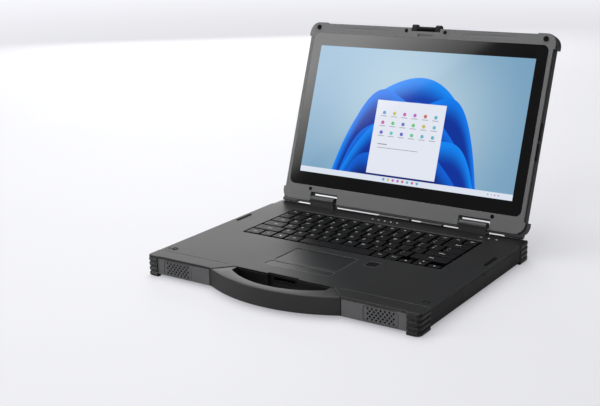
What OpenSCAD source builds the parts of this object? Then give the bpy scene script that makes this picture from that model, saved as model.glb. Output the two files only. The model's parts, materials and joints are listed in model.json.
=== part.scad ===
// Rugged clamshell laptop computer.
// x runs to the user's right, y away from the user, z up from the table.
// Everything is drawn with y = 0 at the middle of the base, then moved by place()
// so that the origin is under the middle of the whole open machine.

/* [Base] */
// Overall width across the corner bumpers
overall_w = 363.2; // [350:1:440]
// Overall depth across the corner bumpers, without the handle
overall_d = 287.4; // [280:1:350]
// Height of the casing's underside above the table
foot_h = 3.5; // [2.5:0.5:8]
// Height of the base casing
body_h = 21.3; // [20:0.5:30]
// Radius of the front corners in plan
front_r = 7; // [5:0.5:20]
// Radius of the rear corners in plan
corner_r = 20; // [14:1:26]
// How far the bumpers stand out at the sides
proud_side = 1; // [0.5:0.25:3]
// How far the bumpers stand out at the front and back
proud_end = 2; // [0.5:0.25:4]
// Thickness of the deck plate
deck_t = 2.5; // [2:0.25:3.5]
// Thickness of the casing's side walls
wall = 3.6; // [3:0.2:5]
// Thickness of the casing's floor
floor_t = 2; // [1.5:0.25:3]
// Length of the sloping strip along the deck's rear edge
bevel_run = 12.7; // [8:0.5:16]
// Drop of the sloping strip
bevel_drop = 8; // [6:0.5:9]

/* [Bumpers] */
// Thickness of the bumper rubber
bumper_t = 4.5; // [3:0.25:6]
// Length of a bumper along the front or back
bumper_leg_x = 15.6; // [14:0.1:30]
// Length of a front bumper along the side
bumper_leg_front = 23.2; // [18:0.5:40]
// Length of a rear bumper along the side
bumper_leg_rear = 36; // [18:0.5:50]
// Depth of the grooves between the ribs
rib_depth = 1.2; // [0.6:0.1:2]
// Number of ribs
rib_count = 4; // [2:1:6]

/* [Handle] */
// Span of the handle where it meets the front
handle_span = 173.8; // [150:1:220]
// How far the handle reaches out of the front face
handle_reach = 22.1; // [16:0.5:32]
// Thickness of the handle bar at its middle
handle_bar = 11.7; // [9:0.5:16]
// Width of the finger opening
grip_span = 127; // [100:1:140]
// Distance from the front face to the rear edge of the finger opening
grip_back = 20.7; // [18:0.5:26]
// Distance from the front face to the ends of the opening's front arc
grip_tip = 10.7; // [8:0.5:14]
// Width of the pocket that the lid latch drops into
pocket_w = 41.6; // [30:0.5:60]
// Depth of the latch pocket behind the finger opening
pocket_d = 2.7; // [2:0.1:5]

/* [Keyboard] */
// Key pitch from side to side
key_pitch_x = 18.24; // [17:0.02:19.2]
// Key pitch from front to back
key_pitch_y = 18.5; // [17:0.05:19.2]
// Gap between key caps
key_gap = 2.6; // [1.8:0.1:4]
// Thickness of a key cap
key_h = 3; // [2.2:0.1:3.4]
// Height of the key tops above the deck
key_proud = 0.4; // [0:0.1:0.8]
// Key travel
key_travel = 1.8; // [1:0.1:2]
// Middle of the keyboard, measured from the middle of the base
keys_y = 41.8; // [36:0.2:46]

/* [Touchpad] */
// Width of the touchpad
pad_w = 85.4; // [60:1:120]
// Depth of the touchpad
pad_d = 46.7; // [35:1:50]
// Middle of the touchpad, measured from the middle of the base
pad_y = -55.2; // [-58:0.2:-50]
// Depth of the two buttons
button_d = 12.9; // [9:0.5:14]
// Gap between the touchpad and the buttons
button_gap = 5; // [3:0.5:6]
// Button travel
button_travel = 0.8; // [0.4:0.1:1]
// Side of the fingerprint reader
reader_s = 15.5; // [10:0.5:18]

/* [Lid] */
// Opening angle of the lid as drawn
lid_open = 110; // [100:1:130]
// Height of the hinge axis above the deck
axis_h = 4.7; // [4.5:0.1:7]
// Distance from the middle of the base to the hinge axis
axis_y = 129; // [125:0.5:131]
// Gap between the lid's face and the deck when closed
lid_gap = 1.2; // [0.9:0.1:2]
// Width of the lid's front bezel
bezel_w = 347.6; // [300:1:360]
// Height of the lid's front bezel
bezel_h = 242.9; // [230:0.5:250]
// Thickness of the bezel
bezel_t = 2.4; // [2:0.1:3]
// Thickness of the whole lid
lid_t = 12; // [11:0.5:16]
// Wall of the lid's rear shell
lid_wall = 2; // [1.5:0.25:3]
// How far the rear shell hangs below the bezel
lid_lip = 3.1; // [3:0.1:3.6]
// Corner radius of the lid
lid_r = 12; // [8:1:16]
// Width of the cover glass
glass_w = 337.4; // [290:1:345]
// Height of the cover glass
glass_h = 209.3; // [190:1:215]
// Bottom edge of the glass above the bezel's bottom edge
glass_z = 20.6; // [18:0.2:24]
// Width of the picture area
view_w = 309.35; // [270:1:320]
// Height of the picture area
view_h = 174; // [150:1:180]
// Bottom of the picture above the glass's bottom edge
view_z = 18; // [14:0.5:20]

/* [Hinges] */
// Radius of the hinge shaft
shaft_r = 2; // [1.5:0.1:2.2]
// Running clearance around the shaft
shaft_play = 0.05; // [0.02:0.01:0.1]
// Distance from the middle to the inner end of a hinge block
block_in = 92; // [80:1:110]
// Length of a hinge block
block_l = 36.5; // [28:0.5:50]
// Side gap between a hinge block and the lid's notch
block_gap = 2.8; // [1.5:0.1:4]

/* [Latch] */
// Width of the latch over its lugs
latch_w = 40.8; // [30:0.5:60]
// Width of each lug
lug_w = 7; // [5:0.5:10]
// Radius of the latch barrel
barrel_r = 2.7; // [2.2:0.1:3.5]
// Thickness of the latch arm
arm_t = 2.2; // [1.5:0.1:3]

/* [Ports] */
// Thickness of the port covers
cover_t = 1.8; // [1.2:0.1:2]
// Height of the port covers' lower edge above the table
cover_z = 6; // [5.5:0.1:7]
// Height of the side port covers
cover_h = 14.5; // [12:0.5:15]
// Bore of the audio jack
jack_r = 1.75; // [1.5:0.05:2]

/* [Hidden] */

$fn = 64;
eps = 0.01;
fit = 0.3;                                   // loose gap between separate bodies
deck_z = foot_h + body_h;                    // top of the deck
case_w = overall_w - 2 * proud_side;
case_d = overall_d - 2 * proud_end;
front_y = -case_d / 2;
rear_y = case_d / 2;
floor_z = foot_h + floor_t;                  // inside of the floor
under_deck = deck_z - deck_t;
bevel_y = rear_y - bevel_run;                // where the rear slope starts

// Handle arcs: radius of an arc from its chord and its rise
function arc_r(chord, rise) = (chord * chord / 4 + rise * rise) / (2 * rise);
outer_r = arc_r(handle_span, handle_reach);
grip_rise = handle_reach - handle_bar + grip_tip;
grip_r = arc_r(grip_span, grip_rise);
handle_front = front_y - handle_reach;
grip_rear_y = front_y + grip_back;
root_in = 20;                                // how far the handle's ends run in
pocket_y = grip_rear_y + pocket_d;           // back wall of the latch pocket

// Keyboard rows, given as key widths in units of the pitch, from front to back
row_bottom_left = [1.25, 1, 1, 1.25];
space_units = 5.5;
row_bottom_right = [1, 1];
row_lower = [2.25, 1, 1, 1, 1, 1, 1, 1, 1, 1, 1, 2.75];
row_home = [1.75, 1, 1, 1, 1, 1, 1, 1, 1, 1, 1, 1, 2.25];
row_upper = [1.5, 1, 1, 1, 1, 1, 1, 1, 1, 1, 1, 1, 1, 1.5];
row_number = [1, 1, 1, 1, 1, 1, 1, 1, 1, 1, 1, 1, 1, 2];
row_function = [for (i = [1 : 15]) 1];
row_units = 15;
row_count = 6;
keys_w = row_units * key_pitch_x;
keys_d = row_count * key_pitch_y;
keys_gap = 1.4;                              // from the key field to the opening
key_top = deck_z + key_proud;
key_bottom = key_top - key_h;
tray_floor = 1.2;
tray_top = key_bottom - key_travel - 0.7;    // top of the tray's floor
tray_wall = 2;
function sum_to(list, n) = n <= 0 ? 0 : list[n - 1] + sum_to(list, n - 1);

// Touchpad
button_w = pad_w + 2.4;
button_y = pad_y - pad_d / 2 - button_gap - button_d / 2;
reader_x = pad_w / 2 + 14.7 + reader_s / 2;
reader_y = pad_y + pad_d / 2 + 1.4 - reader_s / 2;

// Lid, in its own frame: hinge axis at the origin, x along it, z up the lid,
// and the face towards the user at y = face_y
lean = lid_open - 90;
axis_z = deck_z + axis_h;
face_y = lid_gap - axis_h;
rear_face_y = face_y + lid_t;
shell_y = face_y + bezel_t;                  // front of the rear shell
lip_y = face_y + 0.6;                        // front of the shell's lower lip
bezel_z = 0.3;                               // bezel's bottom edge above the axis
shell_z = bezel_z - lid_lip;
shell_w = bezel_w + 2.4;
bezel_top = bezel_z + bezel_h;
shell_top = bezel_top + 0.7;
glass_t = 1.2;
glass_bottom = bezel_z + glass_z;
view_bottom = glass_bottom + view_z;
notch_in = block_in - block_gap;
notch_out = block_in + block_l + block_gap;
notch_h = 12.6;                              // top of the notch above the axis
notch_back = 10.8;                           // and in the rear shell
edge_cut = 3;                                // chamfer on the lid's lower rear edge
guard_side = 4.2;                            // lid bumpers, how far outside the bezel
guard_top = 1.8;
guard_back = 2;
ear_side = 2.2;                              // bezel over the bumpers, how far outside
ear_top = 1.4;
guard_z = bezel_z - 3.3;
guard_y = rear_face_y + guard_back;
guard_top_z = bezel_top + guard_top;
stop_z = bezel_top - 5.6;

// Latch pivot, in the lid's frame
pivot_z = bezel_top - 0.1;
pivot_y = face_y + barrel_r;
latch_notch_z = bezel_top - 4.4;             // notch floor in the bezel
latch_gap = 0.3;
hook_reach = 11;                             // from the pivot down to the hook's tip
hook_bite = 1.5;
latch_fold = 180;                            // from hooked to folded back
hook_v = axis_y - pivot_z - pocket_y + fit;  // inner side of the arm from the pivot
arm_low = pivot_z - hook_v - arm_t;          // underside of the folded arm
lug_floor_t = 0.8;
latch_floor_z = arm_low - fit - lug_floor_t; // notch floor in the rear shell

// Sockets on the right side, the left side and the back
cover_gap = 0.25;
cover_top = cover_z + cover_h;
pcb_z = floor_z + 4;
pcb_t = 1.6;
pcb_top = pcb_z + pcb_t;
socket_face = case_w / 2 - cover_t - cover_gap;
right_front = [-42.4, 7.7];                  // from and to along the side
right_rear = [12.7, 79.2];
left_cover = [-52, -22];
rear_wide = [-29, 17];
rear_narrow = [33, 63];
rear_cover_top = deck_z - 1.5;
rear_lip = 9.3;
rear_face = rear_y - cover_t - cover_gap;
strip_y = [21, 51];                          // strips in the deck by the edges

// Fan
fan_x = -131;
fan_y = 66;
fan_s = 58;
fan_h = 10;
fan_z = floor_z + 1.5;
rotor_r = 24.5;
rotor_z = fan_z + 1.8;
rotor_h = 6;

// Middle of the open machine's length
lid_rear_reach = axis_y + guard_top_z * sin(lean) + guard_y * cos(lean);
origin_y = (lid_rear_reach + handle_front) / 2;

module place() translate([0, -origin_y, 0]) children();
module lid_place() place() translate([0, axis_y, axis_z]) rotate([-lean, 0, 0]) children();

// A box from low corner to high corner
module block(low, high) translate(low) cube(high - low);

// A rectangle with round corners about the origin
module round_rect(w, d, r) {
  square([w - 2 * r, d], center = true);
  square([w, d - 2 * r], center = true);
  for (x = [-1, 1], y = [-1, 1])
    translate([x * (w / 2 - r), y * (d / 2 - r)]) circle(r);
}

// A round-cornered plate from z1 to z2
module plate(w, d, r, z1, z2)
  translate([0, 0, z1]) linear_extrude(z2 - z1) round_rect(w, d, r);

// A round-cornered panel standing in the lid's frame, from y1 to y2, z_low to z_high
module panel(w, z_low, z_high, r, y1, y2)
  translate([0, y2, (z_low + z_high) / 2]) rotate([90, 0, 0])
    linear_extrude(y2 - y1) round_rect(w, z_high - z_low, r);

// A cylinder along x from x1 to x2
module rod_x(x1, x2, r, y = 0, z = 0)
  translate([x1, y, z]) rotate([0, 90, 0]) cylinder(x2 - x1, r, r);

module both_sides() {
  children();
  mirror([1, 0, 0]) children();
}

// A rectangle about the origin with one radius at the front corners and one at the rear
module base_rect(w, d, r_front, r_rear) {
  intersection() {
    round_rect(w, d, r_front);
    translate([-w, -d]) square([2 * w, d + 1]);
  }
  intersection() {
    round_rect(w, d, r_rear);
    translate([-w, 0]) square([2 * w, d]);
  }
}

// ---- base outlines ----

module case_outline(inset = 0)
  base_rect(case_w - 2 * inset, case_d - 2 * inset, front_r - 1 - inset, corner_r - 1 - inset);

// The square corner areas that the bumpers take
module front_area() both_sides()
  translate([overall_w / 2 - bumper_leg_x, -overall_d / 2])
    square([bumper_leg_x, bumper_leg_front]);
module rear_area() both_sides()
  translate([overall_w / 2 - bumper_leg_x, overall_d / 2 - bumper_leg_rear])
    square([bumper_leg_x, bumper_leg_rear]);

// What a bumper covers, down to the casing's inner corner
module bumper_plan(inset = 0) intersection() {
  difference() {
    base_rect(overall_w - 2 * inset, overall_d - 2 * inset, front_r - inset, corner_r - inset);
    base_rect(case_w - 2 * bumper_t, case_d - 2 * bumper_t, front_r - bumper_t + 0.5,
      corner_r - bumper_t);
  }
  union() {
    front_area();
    rear_area();
  }
}

// The gap in the base's front edge that the handle fills
module handle_gap_plan() {
  root_x = handle_span / 2 - root_in;
  polygon([[-handle_span / 2, front_y - 1], [-handle_span / 2, front_y],
    [-root_x, grip_rear_y], [root_x, grip_rear_y],
    [handle_span / 2, front_y], [handle_span / 2, front_y - 1]]);
}

module pocket_plan()
  translate([-pocket_w / 2, grip_rear_y - 1]) square([pocket_w, pocket_d + 1]);

// The slope along the rear edge, as a solid to take away
module rear_slope() {
  x = overall_w;
  slope = bevel_drop / bevel_run;
  reach = 2 * bevel_run;
  translate([-x, 0, 0]) rotate([90, 0, 90]) linear_extrude(2 * x)
    polygon([[bevel_y, deck_z], [bevel_y + reach, deck_z - slope * reach],
      [bevel_y + reach, deck_z + 5], [bevel_y, deck_z + 5]]);
}

// Seats of the two hinge blocks
block_y1 = axis_y - 6.5;
block_y2 = axis_y + 5;
block_foot = deck_z - 5;
module hinge_seats() both_sides()
  block([block_in, block_y1, block_foot], [block_in + block_l, block_y2, deck_z + 5]);

// The housings behind the rear covers, as solids to take away
module rear_cover_space(span)
  block([span[0], rear_y - rear_lip - cover_gap, cover_z - cover_gap],
    [span[1], rear_y + 1, deck_z]);
module rear_box(span, grow = 0)
  block([span[0] + grow, rear_y - rear_lip + grow, cover_z + grow],
    [span[1] - grow, rear_y - cover_t - cover_gap, rear_cover_top - cover_t - cover_gap]);

module side_recess(span)
  block([case_w / 2 - cover_t - cover_gap, span[0], cover_z - cover_gap],
    [case_w / 2 + 1, span[1], cover_top + cover_gap]);

// ---- casing ----

// A socket opening in the right side wall
module side_hole(y, w, z, h)
  block([case_w / 2 - wall - 8, y - w / 2, z], [case_w / 2 + 1, y + w / 2, z + h]);

usb_w = 14;
usb_h = 6.6;
usb_y = [-30, -6, 26];
video_w = 16;
video_h = 6;
video_y = 58;
net_w = 16.4;
net_h = 13;
net_x = -6;
inlet_s = 9;
inlet_x = 48;
inlet_z = cover_z + 2;
jack_y = -37;
jack_z = pcb_top + 3;
jack_l = 12;
hatch_w = 222;
hatch_d = 78;
hatch_y = -76;
hatch_lip = 3;
screw_r = 1.25;
screw_head_r = 2.4;
foot_x = 140;
foot_y = [-98, 96];
foot_w = 34;
foot_d = 11;
foot_seat = 0.8;

module screw_spots() {
  for (x = [-150, -52, 52, 150], y = [24, 112]) translate([x, y, 0]) children();
  for (x = [-158, 158]) translate([x, -62, 0]) children();
}

module bottom_shell() color("dimgray") place() difference() {
  translate([0, 0, foot_h]) linear_extrude(under_deck - foot_h) difference() {
    case_outline();
    handle_gap_plan();
    pocket_plan();
    bumper_plan();
  }
  // main hollow
  difference() {
    translate([0, 0, floor_z]) linear_extrude(body_h) difference() {
      case_outline(wall);
      gap_wall_plan();
      bumper_keepout();
    }
    for (span = [rear_wide, rear_narrow])
      block([span[0] - wall, rear_y - rear_lip - wall, foot_h],
        [span[1] + wall, rear_y, deck_z]);
    both_sides() block([block_in - 2, block_y1 - 2, foot_h],
      [block_in + block_l + 2, rear_y, deck_z]);
    screw_spots() translate([0, 0, foot_h]) cylinder(pcb_z - foot_h, 3.4, 3.4);
    translate([0, 0, -deck_t]) rear_slope();
    both_sides() block([handle_span / 2, front_y, foot_h],
      [case_w / 2, front_y + panel_t + panel_back, deck_z]);
  }
  // front panels are let in, and the sound comes through behind them
  both_sides() {
    block([handle_span / 2 + 1, front_y - 1, foot_h - 1],
      [overall_w / 2 - bumper_leg_x + eps, front_y + panel_t, deck_z]);
    translate([grille_x, front_y + panel_t + wall, grille_z]) rotate([90, 0, 0])
      linear_extrude(wall + 1) round_rect(grille_w - 8, grille_h - 6, 2);
  }
  rear_slope();
  hinge_seats();
  striker_space();
  side_recess(right_front);
  side_recess(right_rear);
  mirror([1, 0, 0]) side_recess(left_cover);
  for (span = [rear_wide, rear_narrow]) difference() {
    rear_cover_space(span);
    rear_box(span);
  }
  for (y = usb_y) side_hole(y, usb_w, pcb_top, usb_h);
  side_hole(video_y, video_w, pcb_top, video_h);
  block([net_x - net_w / 2, rear_y - rear_lip - wall - 1, cover_z + 1],
    [net_x + net_w / 2, rear_y + 1, cover_z + 1 + net_h]);
  block([inlet_x - inlet_s / 2, rear_y - rear_lip - wall - 1, inlet_z],
    [inlet_x + inlet_s / 2, rear_y + 1, inlet_z + inlet_s]);
  mirror([1, 0, 0]) translate([case_w / 2 - wall - 1, jack_y, jack_z]) rotate([0, 90, 0])
    cylinder(wall + 2, 3, 3);
  // exhaust slots on the left
  for (i = [0 : 9])
    block([-case_w / 2 - 1, fan_y - 25 + i * 5.4, fan_z + 1],
      [-case_w / 2 + wall + 1, fan_y - 22 + i * 5.4, fan_z + 9]);
  // air intake under the fan
  for (i = [-3 : 3])
    block([fan_x - 20, fan_y + i * 6 - 1.2, foot_h - 1],
      [fan_x + 20, fan_y + i * 6 + 1.2, floor_z + 1]);
  // battery hatch opening with its ledge
  translate([0, hatch_y, 0]) plate(hatch_w + 0.2, hatch_d + 0.2, 4, foot_h - 1, foot_h + 1);
  translate([0, hatch_y, 0])
    plate(hatch_w - 2 * hatch_lip, hatch_d - 2 * hatch_lip, 4, foot_h, floor_z + 1);
  // seats of the rubber feet
  for (x = [-foot_x, foot_x], y = foot_y)
    translate([x, y, 0]) plate(foot_w, foot_d, 4, foot_h - 1, foot_h + foot_seat);
  // screws
  screw_spots() {
    translate([0, 0, foot_h - 1]) cylinder(pcb_z, screw_r, screw_r);
    translate([0, 0, foot_h - 1]) cylinder(2.5, screw_head_r, screw_head_r);
  }
}

// Inner face of the front wall around the handle, and around the bumpers
module gap_wall_plan() {
  root_x = handle_span / 2 - root_in;
  polygon([[-handle_span / 2 - wall - 2, front_y], [-root_x - wall / 2, grip_rear_y + wall],
    [-pocket_w / 2 - wall, grip_rear_y + wall], [-pocket_w / 2 - wall, pocket_y + wall],
    [pocket_w / 2 + wall, pocket_y + wall], [pocket_w / 2 + wall, grip_rear_y + wall],
    [root_x + wall / 2, grip_rear_y + wall], [handle_span / 2 + wall + 2, front_y]]);
}

module bumper_keepout() {
  both_sides() {
    translate([overall_w / 2 - bumper_leg_x - 2, -overall_d / 2])
      square([bumper_leg_x + 2, bumper_leg_front + 2]);
    translate([overall_w / 2 - bumper_leg_x - 2, overall_d / 2 - bumper_leg_rear - 2])
      square([bumper_leg_x + 2, bumper_leg_rear + 2]);
  }
}

module battery_hatch() color("dimgray") place() translate([0, hatch_y, 0]) difference() {
  plate(hatch_w, hatch_d, 4, foot_h, foot_h + 1);
  for (x = [-1, 1], y = [-1, 1])
    translate([x * (hatch_w / 2 - 8), y * (hatch_d / 2 - 8), foot_h - eps])
      cylinder(0.5, 2.2, 2.2);
  for (i = [-1, 1]) translate([i * 80, -hatch_d / 2 + 7, foot_h - eps])
    linear_extrude(0.5) round_rect(18, 6, 2.9);
}

reader_t = 1.6;
strip_w = 3.6;
strip_x = case_w / 2 - 6.2;
ring_x = [-167, 170];
ring_y = -109;
mark_x = [-173, 165.4];
groove_y = grip_rear_y + 0.6;
groove_end = 74;
front_cut = 2;                               // slope along the deck's front edge

// The deck reaches out over the front bumpers; the rear ones stand beside it
deck_inset = 0.4;
module deck_plan() difference() {
  union() {
    case_outline();
    intersection() {
      base_rect(overall_w - 2 * deck_inset, overall_d - 2 * deck_inset, front_r - deck_inset,
        corner_r - deck_inset);
      front_area();
    }
  }
  handle_gap_plan();
  pocket_plan();
  intersection() {
    bumper_plan();
    rear_area();
  }
}

// What the 45 degree slope along the front edge takes away from x1 to x2. It moves forward
// at step_x, where the deck reaches out over the bumper.
step_x = overall_w / 2 - bumper_leg_x - 0.4;
module front_slope(x1, x2, y) both_sides()
  translate([x1, y, deck_z - front_cut]) rotate([45, 0, 0])
    translate([0, -10, 0]) cube([x2 - x1, 20, 10]);

module top_deck() color([0.2, 0.2, 0.21]) place() difference() {
  translate([0, 0, under_deck]) linear_extrude(deck_t) deck_plan();
  rear_slope();
  hinge_seats();
  for (span = [rear_wide, rear_narrow]) rear_cover_space(span);
  // openings for the keyboard, touchpad, buttons and reader
  translate([0, keys_y, 0])
    plate(keys_w + 2 * keys_gap, keys_d + 2 * keys_gap, 2.5, under_deck - 1, deck_z + 1);
  translate([0, pad_y, 0]) plate(pad_w, pad_d, 2, under_deck - 1, deck_z + 1);
  translate([0, button_y, 0])
    plate(button_w + 2 * fit, button_d + 2 * fit, 1.5, under_deck - 1, deck_z + 1);
  translate([reader_x, reader_y, 0]) plate(reader_s, reader_s, 3, deck_z - reader_t, deck_z + 1);
  // bright edge behind the last row of keys
  translate([2 - keys_w / 2, keys_y + keys_d / 2 + keys_gap - 0.5, deck_z - 1.5])
    rotate([45, 0, 0]) cube([keys_w - 4, 4, 4]);
  front_slope(handle_span / 2, step_x, front_y);
  front_slope(step_x - eps, overall_w / 2, deck_inset - overall_d / 2);
  // line along the front strip, from the latch pocket to each side
  both_sides() block([groove_end, groove_y, deck_z - 0.5], [overall_w, groove_y + 0.8, deck_z + 1]);
  // strips in the edges and marks at the front corners
  both_sides() translate([strip_x, (strip_y[0] + strip_y[1]) / 2, 0])
    plate(strip_w, strip_y[1] - strip_y[0], 1.7, deck_z - 1, deck_z + 1);
  for (x = ring_x) translate([x, ring_y, deck_z - 0.6]) difference() {
    cylinder(1, 2.7, 2.7);
    translate([0, 0, -1]) cylinder(3, 1.7, 1.7);
  }
  for (x = mark_x)
    translate([x, ring_y - 2, 0]) plate(5.8, 3.8, 1.8, deck_z - 1, deck_z + 1);
}

// Two inlaid strips near the side edges of the deck
module edge_strips() color([0.05, 0.05, 0.05]) place() both_sides()
  translate([strip_x, (strip_y[0] + strip_y[1]) / 2, 0])
    plate(strip_w, strip_y[1] - strip_y[0], 1.7, deck_z - 1, deck_z + 0.8);

panel_t = 3.5;
panel_back = 2;                              // casing wall behind a front panel
grille_w = 40.6;
grille_h = 16.6;
grille_x = 135.4;
grille_t = 1.4;
grille_z = (foot_h + under_deck) / 2 + 0.3;

module grille_plan() round_rect(grille_w, grille_h, 3);

// A face panel between the handle and a corner bumper
module front_panel() difference() {
  block([handle_span / 2 + 1.5, front_y, foot_h],
    [overall_w / 2 - bumper_leg_x, front_y + panel_t, under_deck]);
  translate([grille_x, front_y + grille_t, grille_z]) rotate([90, 0, 0])
    linear_extrude(grille_t + 1) round_rect(grille_w + 1.2, grille_h + 1.2, 3.6);
  translate([grille_x, front_y + panel_t + 1, grille_z]) rotate([90, 0, 0])
    linear_extrude(panel_t + 2) round_rect(grille_w - 4, grille_h - 3, 2);
}
module front_panel_left() color([0.33, 0.33, 0.34]) place() mirror([1, 0, 0]) front_panel();
module front_panel_right() color([0.33, 0.33, 0.34]) place() front_panel();

// Five staggered rows of holes, seven and six by turns
hole_r = 1.3;
hole_px = 5.1;
hole_pz = 2.9;
module speaker_grilles() color([0.3, 0.3, 0.3]) place() both_sides()
  translate([grille_x, front_y + grille_t, grille_z]) rotate([90, 0, 0]) difference() {
    linear_extrude(grille_t - 0.2) grille_plan();
    for (row = [-2 : 2]) {
      odd = abs(row) % 2;
      for (i = [0 : 6 - odd])
        translate([(i - (6 - odd) / 2) * hole_px, row * hole_pz, -1])
          cylinder(grille_t + 2, hole_r, hole_r);
    }
  }

// The fixed carry handle: an arc in front, an arc behind, and two roots
module handle_plan(inset = 0) {
  root_x = handle_span / 2 - root_in;
  rear = grip_rear_y;
  difference() {
    intersection() {
      translate([0, handle_front + outer_r]) circle(outer_r - inset, $fn = 200);
      polygon([[-handle_span / 2, front_y], [-handle_span / 2, handle_front - 1],
        [handle_span / 2, handle_front - 1], [handle_span / 2, front_y],
        [root_x, rear], [-root_x, rear]]);
    }
    intersection() {
      translate([0, handle_front + handle_bar + grip_r]) circle(grip_r + inset, $fn = 200);
      translate([-grip_span / 2, handle_front]) square([grip_span, handle_reach + root_in + 10]);
    }
  }
}
module carry_handle() color([0.2, 0.2, 0.2]) place() {
  translate([0, 0, foot_h]) linear_extrude(body_h - 3) handle_plan();
  translate([0, 0, deck_z - 3]) linear_extrude(1.2) handle_plan(0.8);
  translate([0, 0, deck_z - 1.8]) linear_extrude(1.3) handle_plan(2);
}

// A corner bumper: rib_count ribs with grooves between
module bumper(front, right) {
  groove = 1;
  top = front > 0 ? under_deck : deck_z - 0.6;
  rib_h = (top - (rib_count - 1) * groove) / rib_count;
  color([0.12, 0.12, 0.12]) place() difference() {
    intersection() {
      union() {
        linear_extrude(top) bumper_plan(rib_depth);
        for (i = [0 : rib_count - 1])
          translate([0, 0, i * (rib_h + groove)]) linear_extrude(rib_h) bumper_plan();
      }
      block([right > 0 ? 0 : -overall_w, front > 0 ? -overall_d : 0, -1],
        [right > 0 ? overall_w : 0, front > 0 ? 0 : overall_d, deck_z + 1]);
    }
    rear_slope();
  }
}
module bumper_front_left() bumper(1, -1);
module bumper_front_right() bumper(1, 1);
module bumper_rear_left() bumper(-1, -1);
module bumper_rear_right() bumper(-1, 1);

module rubber_feet() color([0.08, 0.08, 0.08]) place()
  for (x = [-foot_x, foot_x], y = foot_y)
    translate([x, y, 0]) plate(foot_w, foot_d, 4, 0, foot_h + foot_seat);

module case_screws() color([0.5, 0.5, 0.5]) place() screw_spots() difference() {
  union() {
    translate([0, 0, foot_h + 0.1]) cylinder(1.4, screw_head_r, screw_head_r);
    translate([0, 0, foot_h + 1.5]) cylinder(pcb_z - foot_h - 1.5, screw_r, screw_r);
  }
  translate([-0.4, -1.5, foot_h]) cube([0.8, 3, 0.7]);
  translate([-1.5, -0.4, foot_h]) cube([3, 0.8, 0.7]);
}

// ---- keyboard ----

module keyboard_tray() color([0.06, 0.06, 0.06]) place() translate([0, keys_y, 0])
  difference() {
    plate(keys_w + 2 * keys_gap + 2 * tray_wall, keys_d + 2 * keys_gap + 2 * tray_wall, 3,
      tray_top - tray_floor, under_deck);
    plate(keys_w + 2 * keys_gap, keys_d + 2 * keys_gap, 2.5, tray_top, under_deck + 1);
  }

// Key caps of one row; row 0 is nearest the user, start is in units from the left
module key_row(row, units, start = 0) {
  y = keys_y + (row + 0.5 - row_count / 2) * key_pitch_y;
  for (i = [0 : len(units) - 1]) {
    x = (start + sum_to(units, i) + units[i] / 2) * key_pitch_x - keys_w / 2;
    translate([x, y, 0]) plate(units[i] * key_pitch_x - key_gap, key_pitch_y - key_gap,
      1.5, key_bottom, key_top);
  }
}

// Half-height arrow keys at the front right corner of the keyboard
module arrow_keys() {
  half = (key_pitch_y - key_gap - 1) / 2;
  y = keys_y - keys_d / 2 + key_gap / 2;
  for (k = [[12, 0], [13, 0], [13, 1], [14, 0]])
    translate([(k[0] + 0.5) * key_pitch_x - keys_w / 2, y + half / 2 + k[1] * (half + 1), 0])
      plate(key_pitch_x - key_gap, half, 1.2, key_bottom, key_top);
}

key_color = [0.1, 0.1, 0.1];
module keys_function_row() color(key_color) place() key_row(5, row_function);
module keys_number_row() color(key_color) place() key_row(4, row_number);
module keys_upper_row() color(key_color) place() key_row(3, row_upper);
module keys_home_row() color(key_color) place() key_row(2, row_home);
module keys_lower_row() color(key_color) place() key_row(1, row_lower);
left_units = sum_to(row_bottom_left, len(row_bottom_left));
module keys_bottom_row() color(key_color) place() {
  key_row(0, row_bottom_left);
  key_row(0, row_bottom_right, left_units + space_units);
  arrow_keys();
}
module space_bar() color(key_color) place() key_row(0, [space_units], left_units);

// ---- touchpad, buttons, reader ----

module touchpad() color([0.14, 0.14, 0.14]) place() translate([0, pad_y, 0]) {
  plate(pad_w, pad_d, 2, under_deck, deck_z - 0.6);
  plate(pad_w + 6, pad_d + 6, 2, under_deck - 1.6, under_deck);
}
module touchpad_button(side) color([0.14, 0.14, 0.14]) place()
  translate([side * (button_w / 4 + fit / 4), button_y, 0])
    plate(button_w / 2 - fit / 2, button_d, 1.2, under_deck - 0.4, deck_z - 0.3);
module touchpad_button_left() touchpad_button(-1);
module touchpad_button_right() touchpad_button(1);
module fingerprint_reader() color([0.05, 0.05, 0.05]) place()
  translate([reader_x, reader_y, 0]) plate(reader_s, reader_s, 3, deck_z - reader_t, deck_z - 0.3);

// ---- latch striker: a plate with a window, let into the pocket's back wall ----

striker_w = 32;
striker_t = 1.5;
window_z1 = axis_z + pivot_y - hook_reach - 1;
window_z2 = window_z1 + 3.8;
module striker_space() {
  block([-striker_w / 2, pocket_y - eps, window_z1 - 3],
    [striker_w / 2, pocket_y + striker_t, deck_z]);
  block([-14, pocket_y - eps, window_z1], [14, pocket_y + wall + 1, window_z2]);
}
module latch_striker() color([0.5, 0.5, 0.52]) place() difference() {
  block([-striker_w / 2, pocket_y, window_z1 - 3],
    [striker_w / 2, pocket_y + striker_t, under_deck]);
  block([-14, pocket_y - 1, window_z1], [14, pocket_y + striker_t + 1, window_z2]);
}

// ---- hinges ----

// A hinge block: flat front, rounded top, bored for the shaft
module hinge_blocks() color([0.3, 0.3, 0.31]) place() both_sides() difference() {
  translate([block_in, 0, 0]) rotate([90, 0, 90]) linear_extrude(block_l) {
    top = axis_z + 8.6;
    r = 4;
    translate([block_y1 + 0.6, block_foot]) square([block_y2 - block_y1 - 0.6, top - r - block_foot]);
    translate([block_y1 + r, block_foot]) square([block_y2 - block_y1 - 2 * r, top - block_foot]);
    for (y = [block_y1 + r, block_y2 - r]) translate([y, top - r]) circle(r);
  }
  rod_x(block_in - 1, block_in + block_l + 1, shaft_r + shaft_play, axis_y, axis_z);
}

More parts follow.
